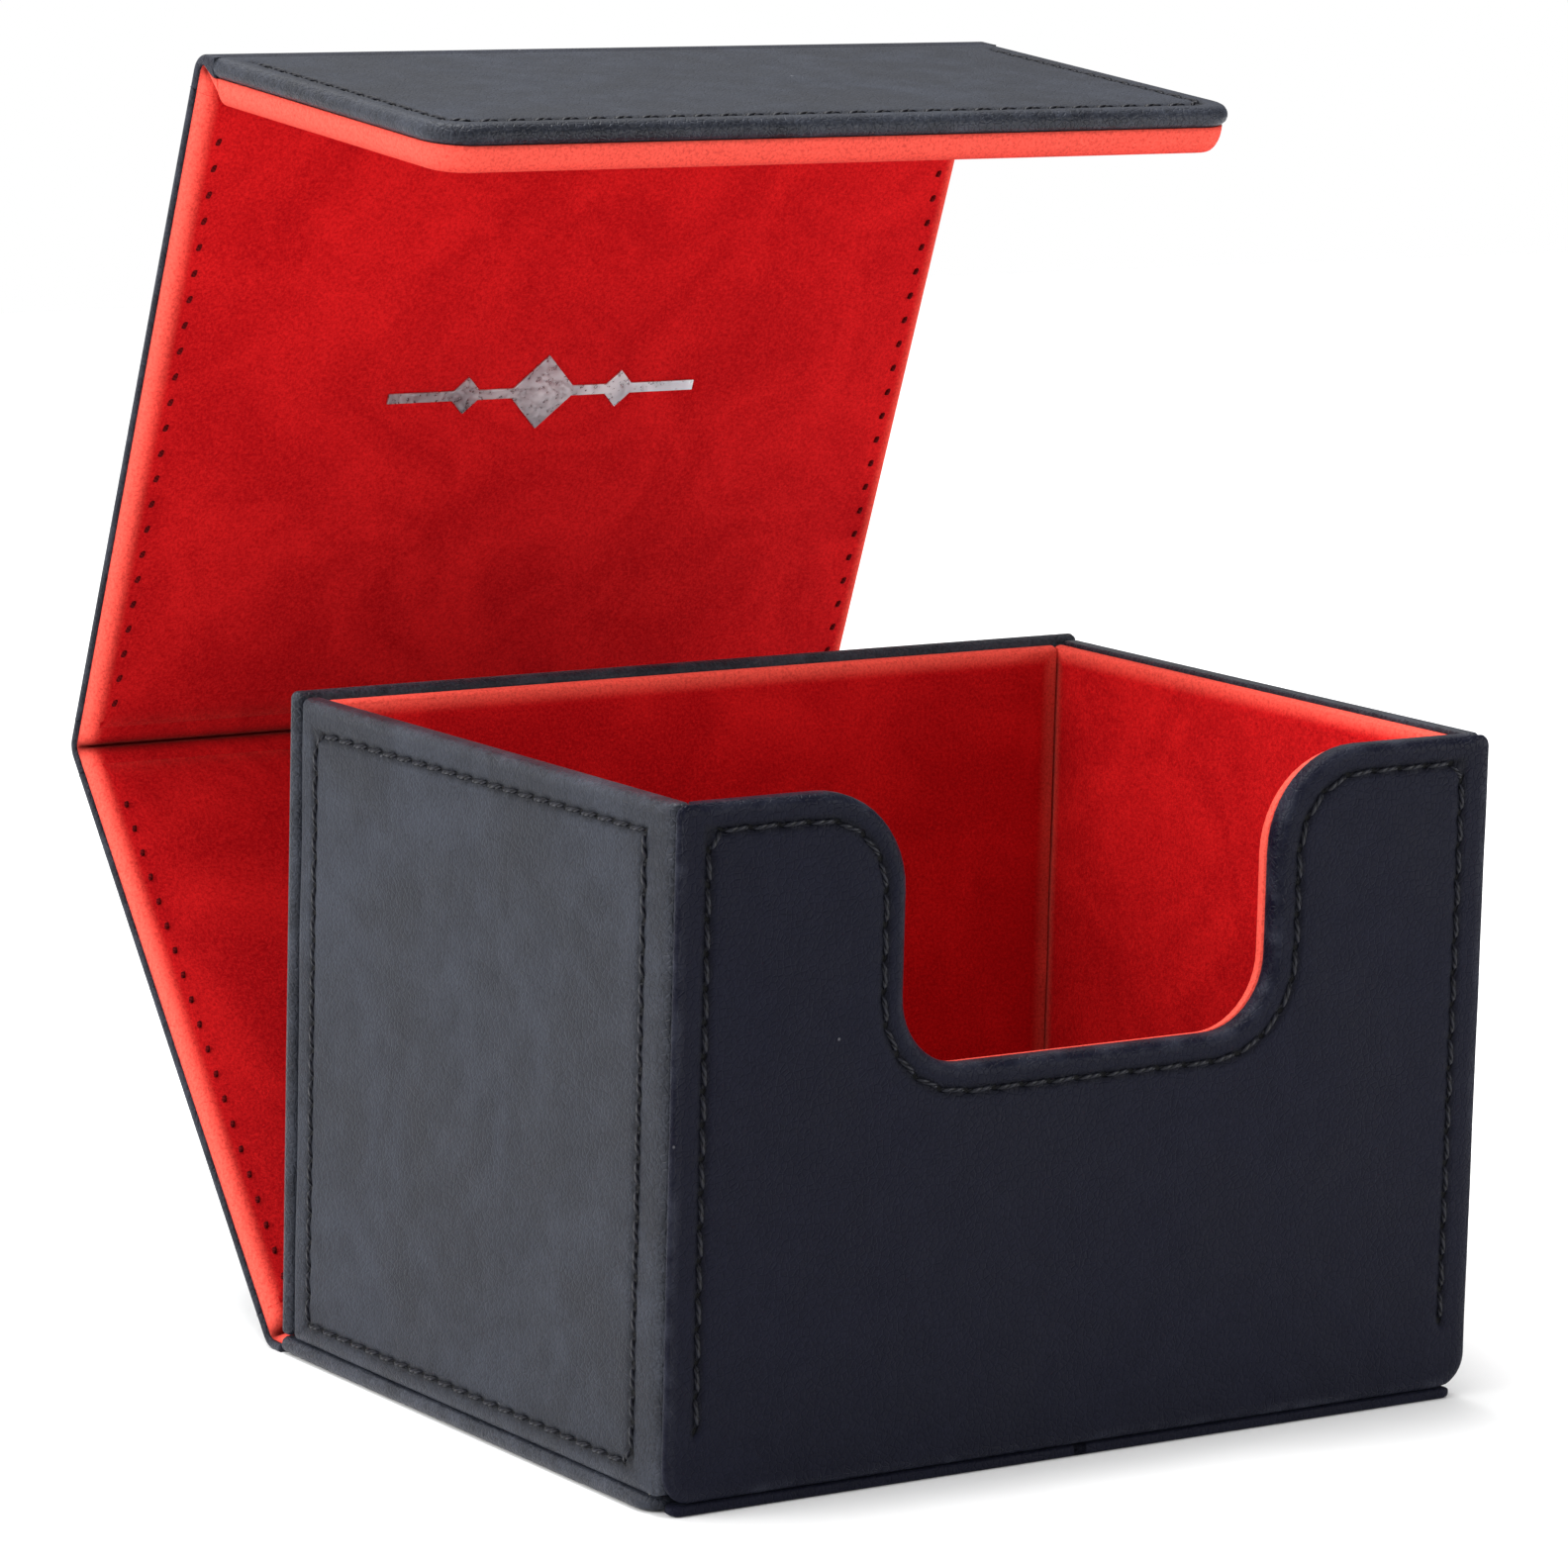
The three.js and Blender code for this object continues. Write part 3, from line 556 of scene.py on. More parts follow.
def build_nap():
    """Microfibre nap: fine tufts leaning in small drifts, lighter where the pile is brushed up."""
    tree, given, result = group(
        "microfibre nap",
        [("Position", None), ("Deep", (0, 0, 0, 1)), ("Bright", (1, 1, 1, 1)), ("Brushed", 0.5)],
        [("Color", "Color"), ("Height", "Float")],
    )
    where = given["Position"]
    drift = between(tree, noise(tree, where, 60.0, 3, 0.6, 1.0), 0.3, 0.75)
    tuft = noise(tree, where, 3000.0, 3, 0.7)
    hair = noise(tree, where, 8000.0, 2, 0.6)
    share = sums(tree, "MULTIPLY", drift, given["Brushed"])
    share = sums(tree, "MULTIPLY_ADD", sums(tree, "SUBTRACT", tuft, 0.5), 2.4, share)
    share = sums(tree, "MULTIPLY_ADD", sums(tree, "SUBTRACT", hair, 0.5), 1.2, share)
    share = put(tree, "Clamp", {}, Value=sums(tree, "ADD", share, 0.25)).outputs[0]
    tree.links.new(blended(tree, share, given["Deep"], given["Bright"]), result["Color"])
    height = sums(tree, "MULTIPLY_ADD", tuft, 0.7, sums(tree, "MULTIPLY", hair, 0.3))
    tree.links.new(height, result["Height"])


def build_twist():
    """Two twisted strands: stripes that run round the thread as they go along it, and a mask for
    the painted shade between the strands.
    """
    tree, given, result = group(
        "thread twist",
        [("Thread map", None), ("Turns", 2.5)],
        [("Ply shade", "Float"), ("Height", "Float")],
    )
    parts = put(tree, "SeparateXYZ", {}, Vector=given["Thread map"]).outputs
    around = sums(tree, "MULTIPLY", parts[1], 2.0)
    around = sums(tree, "MULTIPLY_ADD", parts[0], given["Turns"], around)
    wave = sums(tree, "ABSOLUTE", sums(tree, "SINE", sums(tree, "MULTIPLY", around, np.pi)))
    tree.links.new(between(tree, wave, 0.45, 0.05), result["Ply shade"])
    tree.links.new(wave, result["Height"])


for build in (build_clouds, build_wear, build_pricks, build_lint, build_nap, build_twist):
    build()
print("node groups:", sorted(tree.name for tree in bpy.data.node_groups))


# %% Materials of the box
def material(name):
    """A new material with its tree, its Principled shader and the object's own coordinates."""
    made = bpy.data.materials.new(name)
    made.use_nodes = True
    tree = made.node_tree
    tree.nodes.clear()
    shader = put(tree, "BsdfPrincipled")
    tree.links.new(shader.outputs[0], put(tree, "OutputMaterial").inputs[0])
    return made, tree, shader, put(tree, "TexCoord").outputs["Object"]


def finish_with(tree, shader, base, roughness, height=None, strength=0.3, distance=0.0002):
    """Joins colour, roughness and bump to the shader."""
    tree.links.new(base, shader.inputs["Base Color"])
    if isinstance(roughness, float):
        shader.inputs["Roughness"].default_value = roughness
    else:
        tree.links.new(roughness, shader.inputs["Roughness"])
    if height is not None:
        bump = put(tree, "Bump", {}, Height=height, Strength=strength, Distance=distance)
        tree.links.new(bump.outputs[0], shader.inputs["Normal"])


def constants(shader, **values):
    """Sets the shader's own sockets, for what is the same all over the surface."""
    for name, value in values.items():
        shader.inputs[name.replace("_", " ")].default_value = value


def leather(name, dark, light, amount, shine, cloud_scale=60.0):
    """Black pull-up leather with polished rims, a seam's needle holes and groove painted dark as
    shade, and a little lint.
    """
    made, tree, shader, where = material(name)
    skin = use(tree, "leather clouds", Position=where, Dark=dark, Light=light, Amount=amount,
               Cloud_scale=cloud_scale)
    inset = put(tree, "Attribute", {"attribute_name": "inset"}).outputs["Fac"]
    seam_map = put(tree, "UVMap", {"uv_map": "seam"}).outputs[0]
    worn = use(tree, "rim wear", Position=where, Inset=inset)["Mask"]
    pricks_and_shade = use(tree, "seam pricks and shade", Seam_map=seam_map)
    base = blended(tree, sums(tree, "MULTIPLY", worn, 0.12), skin["Color"], colour(92, 96, 110))
    # Painted shade: the leather is darkened along the seam's groove, and the needle holes are
    # painted near black.
    base = blended(tree, sums(tree, "MULTIPLY", pricks_and_shade["Line"], 0.55), base, colour(7, 7, 10))
    base = blended(tree, pricks_and_shade["Hole"], base, colour(2, 2, 3))
    lint = use(tree, "lint", Position=where)["Mask"]
    base = blended(tree, sums(tree, "MULTIPLY", lint, 0.3), base, colour(150, 150, 155))
    height = sums(tree, "MULTIPLY_ADD", pricks_and_shade["Hole"], -1.5, skin["Height"])
    polish = between(tree, inset, 1.6, 0.3, 0.0, 0.24)
    roughness = sums(tree, "SUBTRACT", skin["Roughness"], polish)
    constants(shader, Sheen_Weight=0.04, Sheen_Roughness=0.5, Sheen_Tint=colour(150, 160, 185),
              Specular_IOR_Level=shine)
    finish_with(tree, shader, base, roughness, height, 0.6, 0.0002)
    return made


def microfibre(name, deep, bright, brushed=0.5):
    """Red lining with a short nap, painted paler along its rim as a highlight where the pile
    catches the light, and painted darker towards a fold's crease as shade.
    """
    made, tree, shader, where = material(name)
    nap = use(tree, "microfibre nap", Position=where, Deep=deep, Bright=bright, Brushed=brushed)
    inset = put(tree, "Attribute", {"attribute_name": "inset"}).outputs["Fac"]
    # Painted highlight: the soft rim is painted pale coral, for the sheen of the pile catching the
    # light.
    rim = between(tree, inset, 2.2, 0.1)
    rim = sums(tree, "MULTIPLY", rim, between(tree, nap["Height"], 0.3, 0.6, 0.35, 0.75))
    base = blended(tree, rim, nap["Color"], colour(247, 100, 84))
    # Painted shade: the lining is painted darker towards the bottom of a fold's crease.
    seam_map = put(tree, "UVMap", {"uv_map": "seam"}).outputs[0]
    across = put(tree, "SeparateXYZ", {}, Vector=seam_map).outputs[1]
    crease_shade_and_foil_grain = between(tree, across, CREASE + 2.4, CREASE, 0.0, 0.75)
    base = blended(tree, crease_shade_and_foil_grain, base, colour(70, 2, 7))
    constants(shader, Sheen_Weight=0.35, Sheen_Roughness=0.35, Sheen_Tint=colour(255, 110, 95),
              Specular_IOR_Level=0.04)
    finish_with(tree, shader, base, 0.9, nap["Height"], 0.6, 0.00025)
    return made


def thread(name, strand, dark_tone_and_ply_shade, roughness, shine):
    """Waxed two-ply thread, painted dark between its plies as shade, and darker in random patches.
    """
    made, tree, shader, where = material(name)
    thread_map = put(tree, "UVMap", {"uv_map": "seam"}).outputs[0]
    twist = use(tree, "thread twist", Thread_map=thread_map)
    uneven = between(tree, noise(tree, where, 900.0, 2), 0.3, 0.7, 0.0, 0.45)
    base = blended(tree, uneven, strand, dark_tone_and_ply_shade)
    # Painted shade: the thread is painted dark between its two plies.
    base = blended(tree, twist["Ply shade"], base, dark_tone_and_ply_shade)
    constants(shader, Specular_IOR_Level=shine)
    finish_with(tree, shader, base, roughness, twist["Height"], 0.8, 0.0002)
    return made


# The front's leather is a darker copy of the same leather: painted shade, because the front faces
# away from the lights.
front_painted_shade_leather = leather("front_painted_shade_leather", colour(7, 8, 22), colour(26, 27, 40), 0.3, 0.08)
pulled_leather = leather("pulled_leather", colour(20, 22, 29), colour(60, 64, 74), 0.42, 0.16)
lid_leather = leather("lid_leather", colour(16, 17, 25), colour(52, 55, 66), 0.4, 0.12)
red_microfibre = microfibre("red_microfibre", colour(152, 4, 13), colour(206, 26, 28))
grey_thread = thread("grey_thread", colour(26, 27, 35), colour(3, 3, 5), 0.35, 0.15)
dark_thread = thread("dark_thread", colour(96, 8, 12), colour(50, 4, 7), 0.8, 0.05)

# %% [markdown]
# ## The tray's leather panels
# The front panel is the only one that isn't a rectangle. Its outline goes down into the thumb notch
# and up again, with two rounded shoulders and two rounded lower corners. Its seam runs up one end,
# along the rim, round the notch and down the other end.

# %% Front panel
NOTCH_WIDTH, NOTCH_DEPTH = 45.8, 28.6


def notched(low, high, floor):
    """Corners of a panel whose rim goes down to the notch's floor."""
    (left, bottom), (right, top), half = low[:2], high[:2], NOTCH_WIDTH / 2
    foot, notch = [(left, bottom), (right, bottom)], [(half, floor), (-half, floor)]
    return foot + [(right, top), (half, top)] + notch + [(-half, top), (left, top)]


low, high = measured("front_cover", PLACE["front"])
low[0], high[0] = low[0] + PROUD, high[0] - PROUD
board_end = measured("front_board", PLACE["front"])[1][0]
notch_floor = high[1] - NOTCH_DEPTH
front_radii = [3.5, 3.5, 1.2, 10.5, 7.5, 7.5, 10.5, 1.2]
front_outline = Outline(notched(low, high, notch_floor), front_radii, spacing=0.6, steps=12)
front_seam = Seam(
    front_outline, [3.6, 3.6, 2.7, 2.7, 2.7, 2.7, 2.7, 3.6], pitch=3.4, start=low[1] + 7
)
front_leather = cover(
    "front_panel_leather", PLACE["front"], front_outline, high[2],
    [0.9, 0.45, 1.1, 1.2, 1.2, 1.2, 1.1, 0.45], front_painted_shade_leather, front_seam, seed=1,
    thin=board_end + 0.1, foot=0.5,
)  # fmt: skip
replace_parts(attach(front_leather, "tray"), "front_cover")

# %% Side walls, back wall and base
WALL_EDGES = {
    # name: seam insets and roll radii of the foot, the high-u end, the rim and the low-u end, and
    # the radius at the inner side of the rim
    "left": ([2.2, 4.8, 3.3, 3.4], [0.45, 1.6, 1.0, 1.1], 0.35),
    "right": ([2.2, 3.4, 3.3, 4.8], [0.45, 1.1, 1.0, 1.6], 0.35),
    "back": (None, [0.45, 1.0, 1.0, 1.0], 0.95),
    "base": (None, [1.0, 1.0, 1.0, 1.0], 0.95),
}
JOIN_GAP = 0.25  # the shadow between a side wall and the front panel's leather
wall_seams = {}
for seed, (name, (seam_insets, rolls, foot)) in enumerate(WALL_EDGES.items(), 2):
    low, high = measured(f"{name}_cover", PLACE[name])
    high[0] -= JOIN_GAP * (name == "left")
    low[0] += JOIN_GAP * (name == "right")
    outline = oblong(low, high, [2.5, 2.5, 0.8, 0.8] if name == "base" else 0.8, spacing=0.6)
    wall_seams[name] = Seam(outline, seam_insets, pitch=2.95) if seam_insets else None
    made = cover(
        f"{name}_wall_leather" if name != "base" else "base_leather",
        PLACE[name], outline, high[2], rolls, pulled_leather, wall_seams[name], seed, foot=foot,
    )  # fmt: skip
    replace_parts(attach(made, "tray"), f"{name}_cover")

# %% [markdown]
# ## Linings
# The microfibre is laminated to a thin foam, so it isn't a flat sheet: its face swells slightly and
# its rim is a soft quarter round. The profile is an ellipse from the face down to the board.


# %% A lining pad
def pad(name, place, outline, face, back, soft, material, seed=0, pocket=None, press=None,
        folds=0):
    """Profile, from the middle: flat at depth `face`, then an ellipse that falls to depth `back`
    over the last `soft` mm, with one value of soft per edge. A pocket (inset, depth) lets the board
    in from the back. `press` sinks the face, for a grid of (u, v)."""
    edges = len(outline.corners)
    soft = np.broadcast_to(np.asarray(soft, float), edges)
    profile = [(inset, face) for inset in face_rings(np.full(edges, REACH / 2), soft)[::3]]
    flat_count = len(profile)
    for swing in np.radians(np.linspace(0, 90, 9)):
        profile.append((soft * (1 - np.sin(swing)), back + (face - back) * np.cos(swing)))
    if pocket:
        profile += [(pocket[0], back), (pocket[0], pocket[1])]
    profile.append((REACH, profile[-1][1]))
    rows, insets = [], []
    for inset, depth in profile:
        ring = outline.ring(inset)
        rows.append(np.column_stack([ring, np.full(len(ring), float(depth))]))
        insets.append(outline.mix(inset) + IN_FOLD * outline.mix(folds))
    rows, insets = np.array(rows), np.array(insets)
    if not np.any(folds):
        fade = np.clip(np.arange(len(rows)) / flat_count, 0, 1)[:, None]
        wander = fade * ripple(rows[..., 0], rows[..., 1], seed, 0.035)
        rows[..., 2] -= wander * np.clip((rows[..., 2] - back) / (face - back), 0, 1) ** 2
    grids = [(closed(rows), closed(insets), NO_SEAM)]
    lids = [(rows[-1], REACH)]
    if press:
        wide, tall = outline.counts[:2]
        (left, bottom), (right, top) = rows[0, :, :2].min(0), rows[0, :, :2].max(0)
        u, v = np.meshgrid(np.linspace(left, right, wide + 1), np.linspace(bottom, top, tall + 1))
        middle = np.stack([u, v, np.full_like(u, face)], -1)
        middle[1:-1, 1:-1, 2] -= press(u, v)[1:-1, 1:-1]
        grids.append((middle, REACH, NO_SEAM))
    else:
        lids.append((rows[0], REACH))
    return piece(name, place, grids, lids, material)


# %% Line the tray
low, high = measured("front_lining", PLACE["front"])
FRONT_SWELL = 0.35  # how much thicker the front's soft lining is than the frame's
SETBACK = 0.15  # how far the lining's notch reaches below the leather's
lining_radii = [0.2, 0.2, 0.2, 10.4, 7.6, 7.6, 10.4, 0.2]
lining_outline = Outline(notched(low, high, notch_floor - SETBACK), lining_radii, steps=12)
front_pad = pad(
    "front_panel_lining", PLACE["front"], lining_outline, high[2] + FRONT_SWELL, low[2],
    [0.1, 0.1, 0.6, 0.6, 0.6, 0.6, 0.6, 0.1], red_microfibre, seed=11,
)  # fmt: skip
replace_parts(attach(front_pad, "tray"), "front_lining")
for name, node, seed in (
    ("left_wall_lining", "left_lining", 12),
    ("right_wall_lining", "right_lining", 13),
    ("back_wall_lining", "back_lining", 14),
    ("floor_lining_pad", "floor_lining", 15),
):
    place = PLACE[{"floor": "base"}.get(node.split("_")[0], node.split("_")[0])]
    low, high = measured(node, place)
    soft = [0.1, 0.1, 0.6, 0.1] if node != "floor_lining" else 0.3
    made = pad(name, place, oblong(low, high, 0.2, 1.2), high[2], low[2], soft, red_microfibre,
               seed=seed)
    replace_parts(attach(made, "tray"), node)

# %% [markdown]
# ## The lid's panels
# A lid panel is a leather sheet, a thin board and a padded lining that wraps the board's rim, so
# from the side a third of the thickness is black and the rest is red. The leather of a fold's edge
# isn't rolled: it runs on into the fold.

# %% Leather and lining of the lid
FOLD_EDGE = 0.05  # the little rounding where a panel's sheet meets the fold's
FOLD_LAP = 0.45  # from the frame's lining edge to the fold's end, filled by the pile
SHEET_LAP = 0.04  # how much deeper a lid panel's sheet is than the frame's
SHEET_ROLL = 0.42  # radius of the rim of a single sheet
LINING_ROLL = 1.65  # width of the lid lining's soft rim


def ornament_press(u, v):
    """Sinks the lining under the foil: a bar and three lozenges, measured from the foil itself."""
    low, high = measured("foil_ornament", PLACE["lid_top"])
    middle = (low[1] + high[1]) / 2
    half_long, half_tall = (high[0] - low[0]) / 2, (high[1] - low[1]) / 2
    away = np.abs(v - middle)
    big = np.abs(u) + away - half_tall
    small = np.abs(np.abs(u) - half_long / 2) + away - half_tall / 2
    rule = np.maximum(away - 0.6, np.abs(u) - half_long)
    nearest = np.minimum(np.minimum(big, small), rule)
    return 0.22 * np.clip(1 - (nearest - 0.2) / 0.9, 0, 1)


for name, seed in (("lid_back", 21), ("lid_top", 22)):
    place = PLACE[name]
    low, high = measured(f"{name}_cover", place)
    outline = oblong(low, high, 0.05, spacing=0.8)
    skin = cover(
        f"{name}_leather", place, outline, high[2] + SHEET_LAP,
        [FOLD_EDGE, SHEET_ROLL, FOLD_EDGE, SHEET_ROLL], lid_leather, seed=seed, folds=[1, 0, 1, 0],
    )  # fmt: skip
    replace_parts(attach(skin, name), f"{name}_cover")
    inner_low, inner_high = measured(f"{name}_lining", place)
    board_top = measured(f"{name}_board", place)[1][2]
    lining_shape = oblong(
        inner_low - [0.1, FOLD_LAP, 0], inner_high + [0.1, FOLD_LAP, 0], 0.05, spacing=0.8
    )
    red = pad(
        f"{name}_lining_pad", place, lining_shape, inner_high[2], inner_low[2],
        [FOLD_EDGE, LINING_ROLL, FOLD_EDGE, LINING_ROLL], red_microfibre, seed + 5,
        pocket=(0.45, board_top + 0.05), press=ornament_press if name == "lid_top" else None,
        folds=[1, 0, 1, 0],
    )  # fmt: skip
    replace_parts(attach(red, name), f"{name}_lining")

# %% The flap
RIM_DEPTH = 2.2  # how far the leather comes down the flap's rim, where the thick lining meets it
place = PLACE["flap"]
low, high = measured("flap_cover", place)
flap_outline = oblong(low, high, [0.05, 0.05, 5, 5], spacing=0.6)
flap_seam = Seam(flap_outline, [3, 3, 3, 3], pitch=3.2, start=low[1] + 3.5)
flap_leather = cover(
    "flap_leather", place, flap_outline, RIM_DEPTH, [FOLD_EDGE, 1.15, 1.15, 1.15], pulled_leather,
    flap_seam, seed=31, folds=[1, 0, 0, 0], foot=0.95, turn_in=LEATHER,
)  # fmt: skip
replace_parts(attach(flap_leather, "flap"), "flap_cover")
inner_low, inner_high = measured("flap_lining", place)
flap_pad = pad(
    "flap_lining_pad", place,
    oblong(inner_low - [0, FOLD_LAP, 0], inner_high, [0.05, 0.05, 4.5, 4.5], 0.8),
    inner_high[2] + 0.1, RIM_DEPTH + FILM, [FOLD_EDGE, 1.6, 1.6, 1.6], red_microfibre, seed=32,
    pocket=(0.5, inner_low[2]), folds=[1, 0, 0, 0],
)  # fmt: skip
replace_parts(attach(flap_pad, "flap"), "flap_lining")

# %% [markdown]
# ## The folds
# Between two panels there is no board: only leather and lining, bent round a small radius. Each is
# a strip carried along X whose section follows the bend.

# %% A strip round a bend
FOLD_RADIUS = 2.4  # outer radius of the bent leather
FOLD_BACK = FOLD_RADIUS - LEATHER  # radius of its inner face, which bends about the hinge's axis
LID_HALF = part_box("lid_back_cover")[1].x / MM


def bent(angle, run, depth):
    """(along, outward) of points round a fold, from its axis: straight to the bend, an arc of
    `angle` about a centre inside the fold, and straight on along the next panel. `run` is the
    distance along the leather's inner face, 0 at the middle of the bend."""
    bend = np.radians(angle)
    half = FOLD_BACK * bend / 2
    turned = np.clip((run + half) / FOLD_BACK, 0, bend)
    spare = run - np.clip(run, -half, half)
    start = np.where(run > 0, bend, 0)
    out = (FOLD_RADIUS - depth) * np.cos(turned) - FOLD_BACK - spare * np.sin(start)
    along = (FOLD_RADIUS - depth) * np.sin(turned) + spare * np.cos(start)
    return along - FOLD_BACK * np.tan(bend / 2), out


def strip(name, place, angle, reach, lower, upper, half_width, soft, core, material):
    """A closed strip: surfaces at depths lower(run) and upper(run), joined at the ends of its run
    and drawn together at its two sides by an ellipse `soft` mm wide, towards `core` of the way
    from the lower surface to the upper one."""
    bend = np.radians(angle)
    extra = FOLD_BACK * (bend / 2 - np.tan(bend / 2))
    run = np.linspace(-reach[0] - extra, reach[1] + extra, 41)
    sides = half_width - soft * (1 - np.sin(np.radians(np.linspace(0, 90, 8))))
    middle = np.linspace(-sides[0], sides[0], 90)[1:-1]
    across = np.concatenate([-sides[::-1], middle, sides])
    in_by = half_width - np.abs(across)
    swell = np.sqrt(np.clip(1 - np.clip(1 - in_by / soft, 0, 1) ** 2, 0, 1))
    near, far = lower(run), upper(run)
    heart = near + (far - near) * core
    surfaces = []
    for goal in (near, far):
        depth = heart[:, None] + (goal - heart)[:, None] * swell[None]
        along, out = bent(angle, run[:, None], depth)
        surfaces.append(np.stack([np.broadcast_to(across, depth.shape), along, LEATHER - out], -1))
    ends = [np.stack([surface[k] for surface in surfaces]) for k in (0, -1)]
    inset = np.broadcast_to(in_by, surfaces[0].shape[:2])
    # The seam map counts mm from the crease, where the lining is painted darker as shade.
    crease_shade_and_foil_grain = np.stack([0.5 + 0 * run, CREASE + np.abs(run)], -1)[:, None]
    parts = [(surface, inset, crease_shade_and_foil_grain) for surface in surfaces]
    parts += [(end, in_by, NO_SEAM) for end in ends]
    return piece(name, place, parts, material=material)


def crease(before, after, angle):
    """Depth of a fold's lining along its run: thin in the crease, and soon as thick as the panel's
    own lining, but never past the plane that halves the bend."""
    half = np.radians(angle) / 2

    def depth(run):
        share = 1 - np.exp(-np.abs(run) / 1.0)
        goal = np.where(run < 0, before, after)
        room = 2.1 + 0.95 * np.maximum(np.abs(run) - FOLD_BACK * half, 0) / np.tan(half)
        return np.minimum(1.15 + (goal - 0.02 - 1.15) * share / 0.967, room)

    return depth


def flap_edge(run):
    """How deep the top fold's leather is: one sheet at the lid, and the flap's whole rolled rim
    where it meets the flap."""
    share = np.clip((run + 0.4) / 3.2, 0, 1)
    return LEATHER + (RIM_DEPTH - LEATHER) * share * share * (3 - 2 * share)


def one_sheet(run):
    """How deep the leather of the other folds is."""
    return LEATHER + 0 * run


REACH_IN = 3.2  # from a fold's axis to the stiff part of a lid panel
LID_DEPTH = measured("lid_back_lining", PLACE["lid_back"])[1][2]
FLAP_DEPTH = measured("flap_lining", PLACE["flap"])[1][2]
BASE_REACH, BASE_DEPTH = 2.3, 2.0  # the same reach, and the lining's depth, at the base
FOLDS = {
    # name: hinge, panel before, body after, reach before, depth of the lining before and after
    "rear": ("lid_back_hinge", "base", "lid_back", BASE_REACH, (BASE_DEPTH, LID_DEPTH)),
    "middle": ("lid_top_hinge", "lid_back", "lid_top", REACH_IN, (LID_DEPTH, LID_DEPTH)),
    "top": ("flap_hinge", "lid_top", "flap", REACH_IN, (LID_DEPTH, FLAP_DEPTH)),
}
for name, (hinge, panel, body_after, before, depths) in FOLDS.items():
    _, across, along, outward = PLACE[panel]
    axis = np.array(JOINTS[hinge]["pos_m"])
    angle = 90 - JOINTS[hinge]["range_deg"][1]
    place = ruler(axis + outward * LEATHER * MM, across, along, outward)
    sheet = flap_edge if name == "top" else one_sheet
    skin = strip(
        f"{name}_fold_skin", place, angle, (before - 0.02, REACH_IN - 0.02),
        lambda run: 0 * run, sheet, LID_HALF, SHEET_ROLL, 0.5, lid_leather,
    )  # fmt: skip
    deep = crease(*depths, angle)
    red = strip(
        f"{name}_fold_lining_pad", place, angle, (before + 0.2, REACH_IN + 0.2),
        lambda run: np.minimum(sheet(run) + 0.08, deep(run) - 0.2), deep, LID_HALF - 0.4,
        LINING_ROLL, 0, red_microfibre,
    )  # fmt: skip
    for made, node, slot in ((skin, "leather", "leather"), (red, "lining", "lining")):
        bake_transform(made)
        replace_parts(made, f"{name}_fold_{node}")

# %% The fold under the front panel
# A bar along u. Its section is a rounded square, |x|^4 + |y|^4 = 1, which narrows at both ends.
low, high = measured("front_fold_leather", PLACE["front"])
turn = np.radians(np.linspace(0, 360, 25))
square = np.abs(np.stack([np.cos(turn), np.sin(turn)])) ** 0.5
section = np.sign(np.round(np.stack([np.cos(turn), np.sin(turn)]), 6)) * square
middle, half = (low + high)[1:, None] / 2, (high - low)[1:, None] / 2
section = (middle + half * section).T
low, high = low + [1.2, 0, 0], high + [-1.2, 0.06, 0.1]
length = np.concatenate([[0, 0.1, 0.3, 0.6, 1.0], np.linspace(1.4, 50, 60)])
length = np.concatenate([low[0] + length, (high[0] - length)[::-1][1:]])
narrow = np.clip((length - low[0]) * (high[0] - length) / (high[0] - low[0]), 0, 1)[:, None, None]
narrow = np.sqrt(0.2 + 0.8 * (1 - (1 - narrow) ** 2))
body = middle.T + (section - middle.T)[None] * narrow
bar = np.concatenate([np.broadcast_to(length[:, None, None], body.shape[:2] + (1,)), body], -1)
made = piece(
    "front_fold_skin", PLACE["front"], [(bar, 5.0, NO_SEAM)],
    [(bar[0, :-1], 5.0), (bar[-1, :-1], 5.0)], front_painted_shade_leather,
)  # fmt: skip
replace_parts(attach(made, "tray"), "front_fold_leather")

# %% [markdown]
# ## Stitches
# Each stitch is a short length of twisted thread that comes up out of one hole, lies in the groove
# and dives into the next. One function makes a whole row at once: every stitch is the same small
# tube, worked out as arrays over stitch, station and angle.

# %% A row of stitches
STATIONS, SIDES = 8, 6


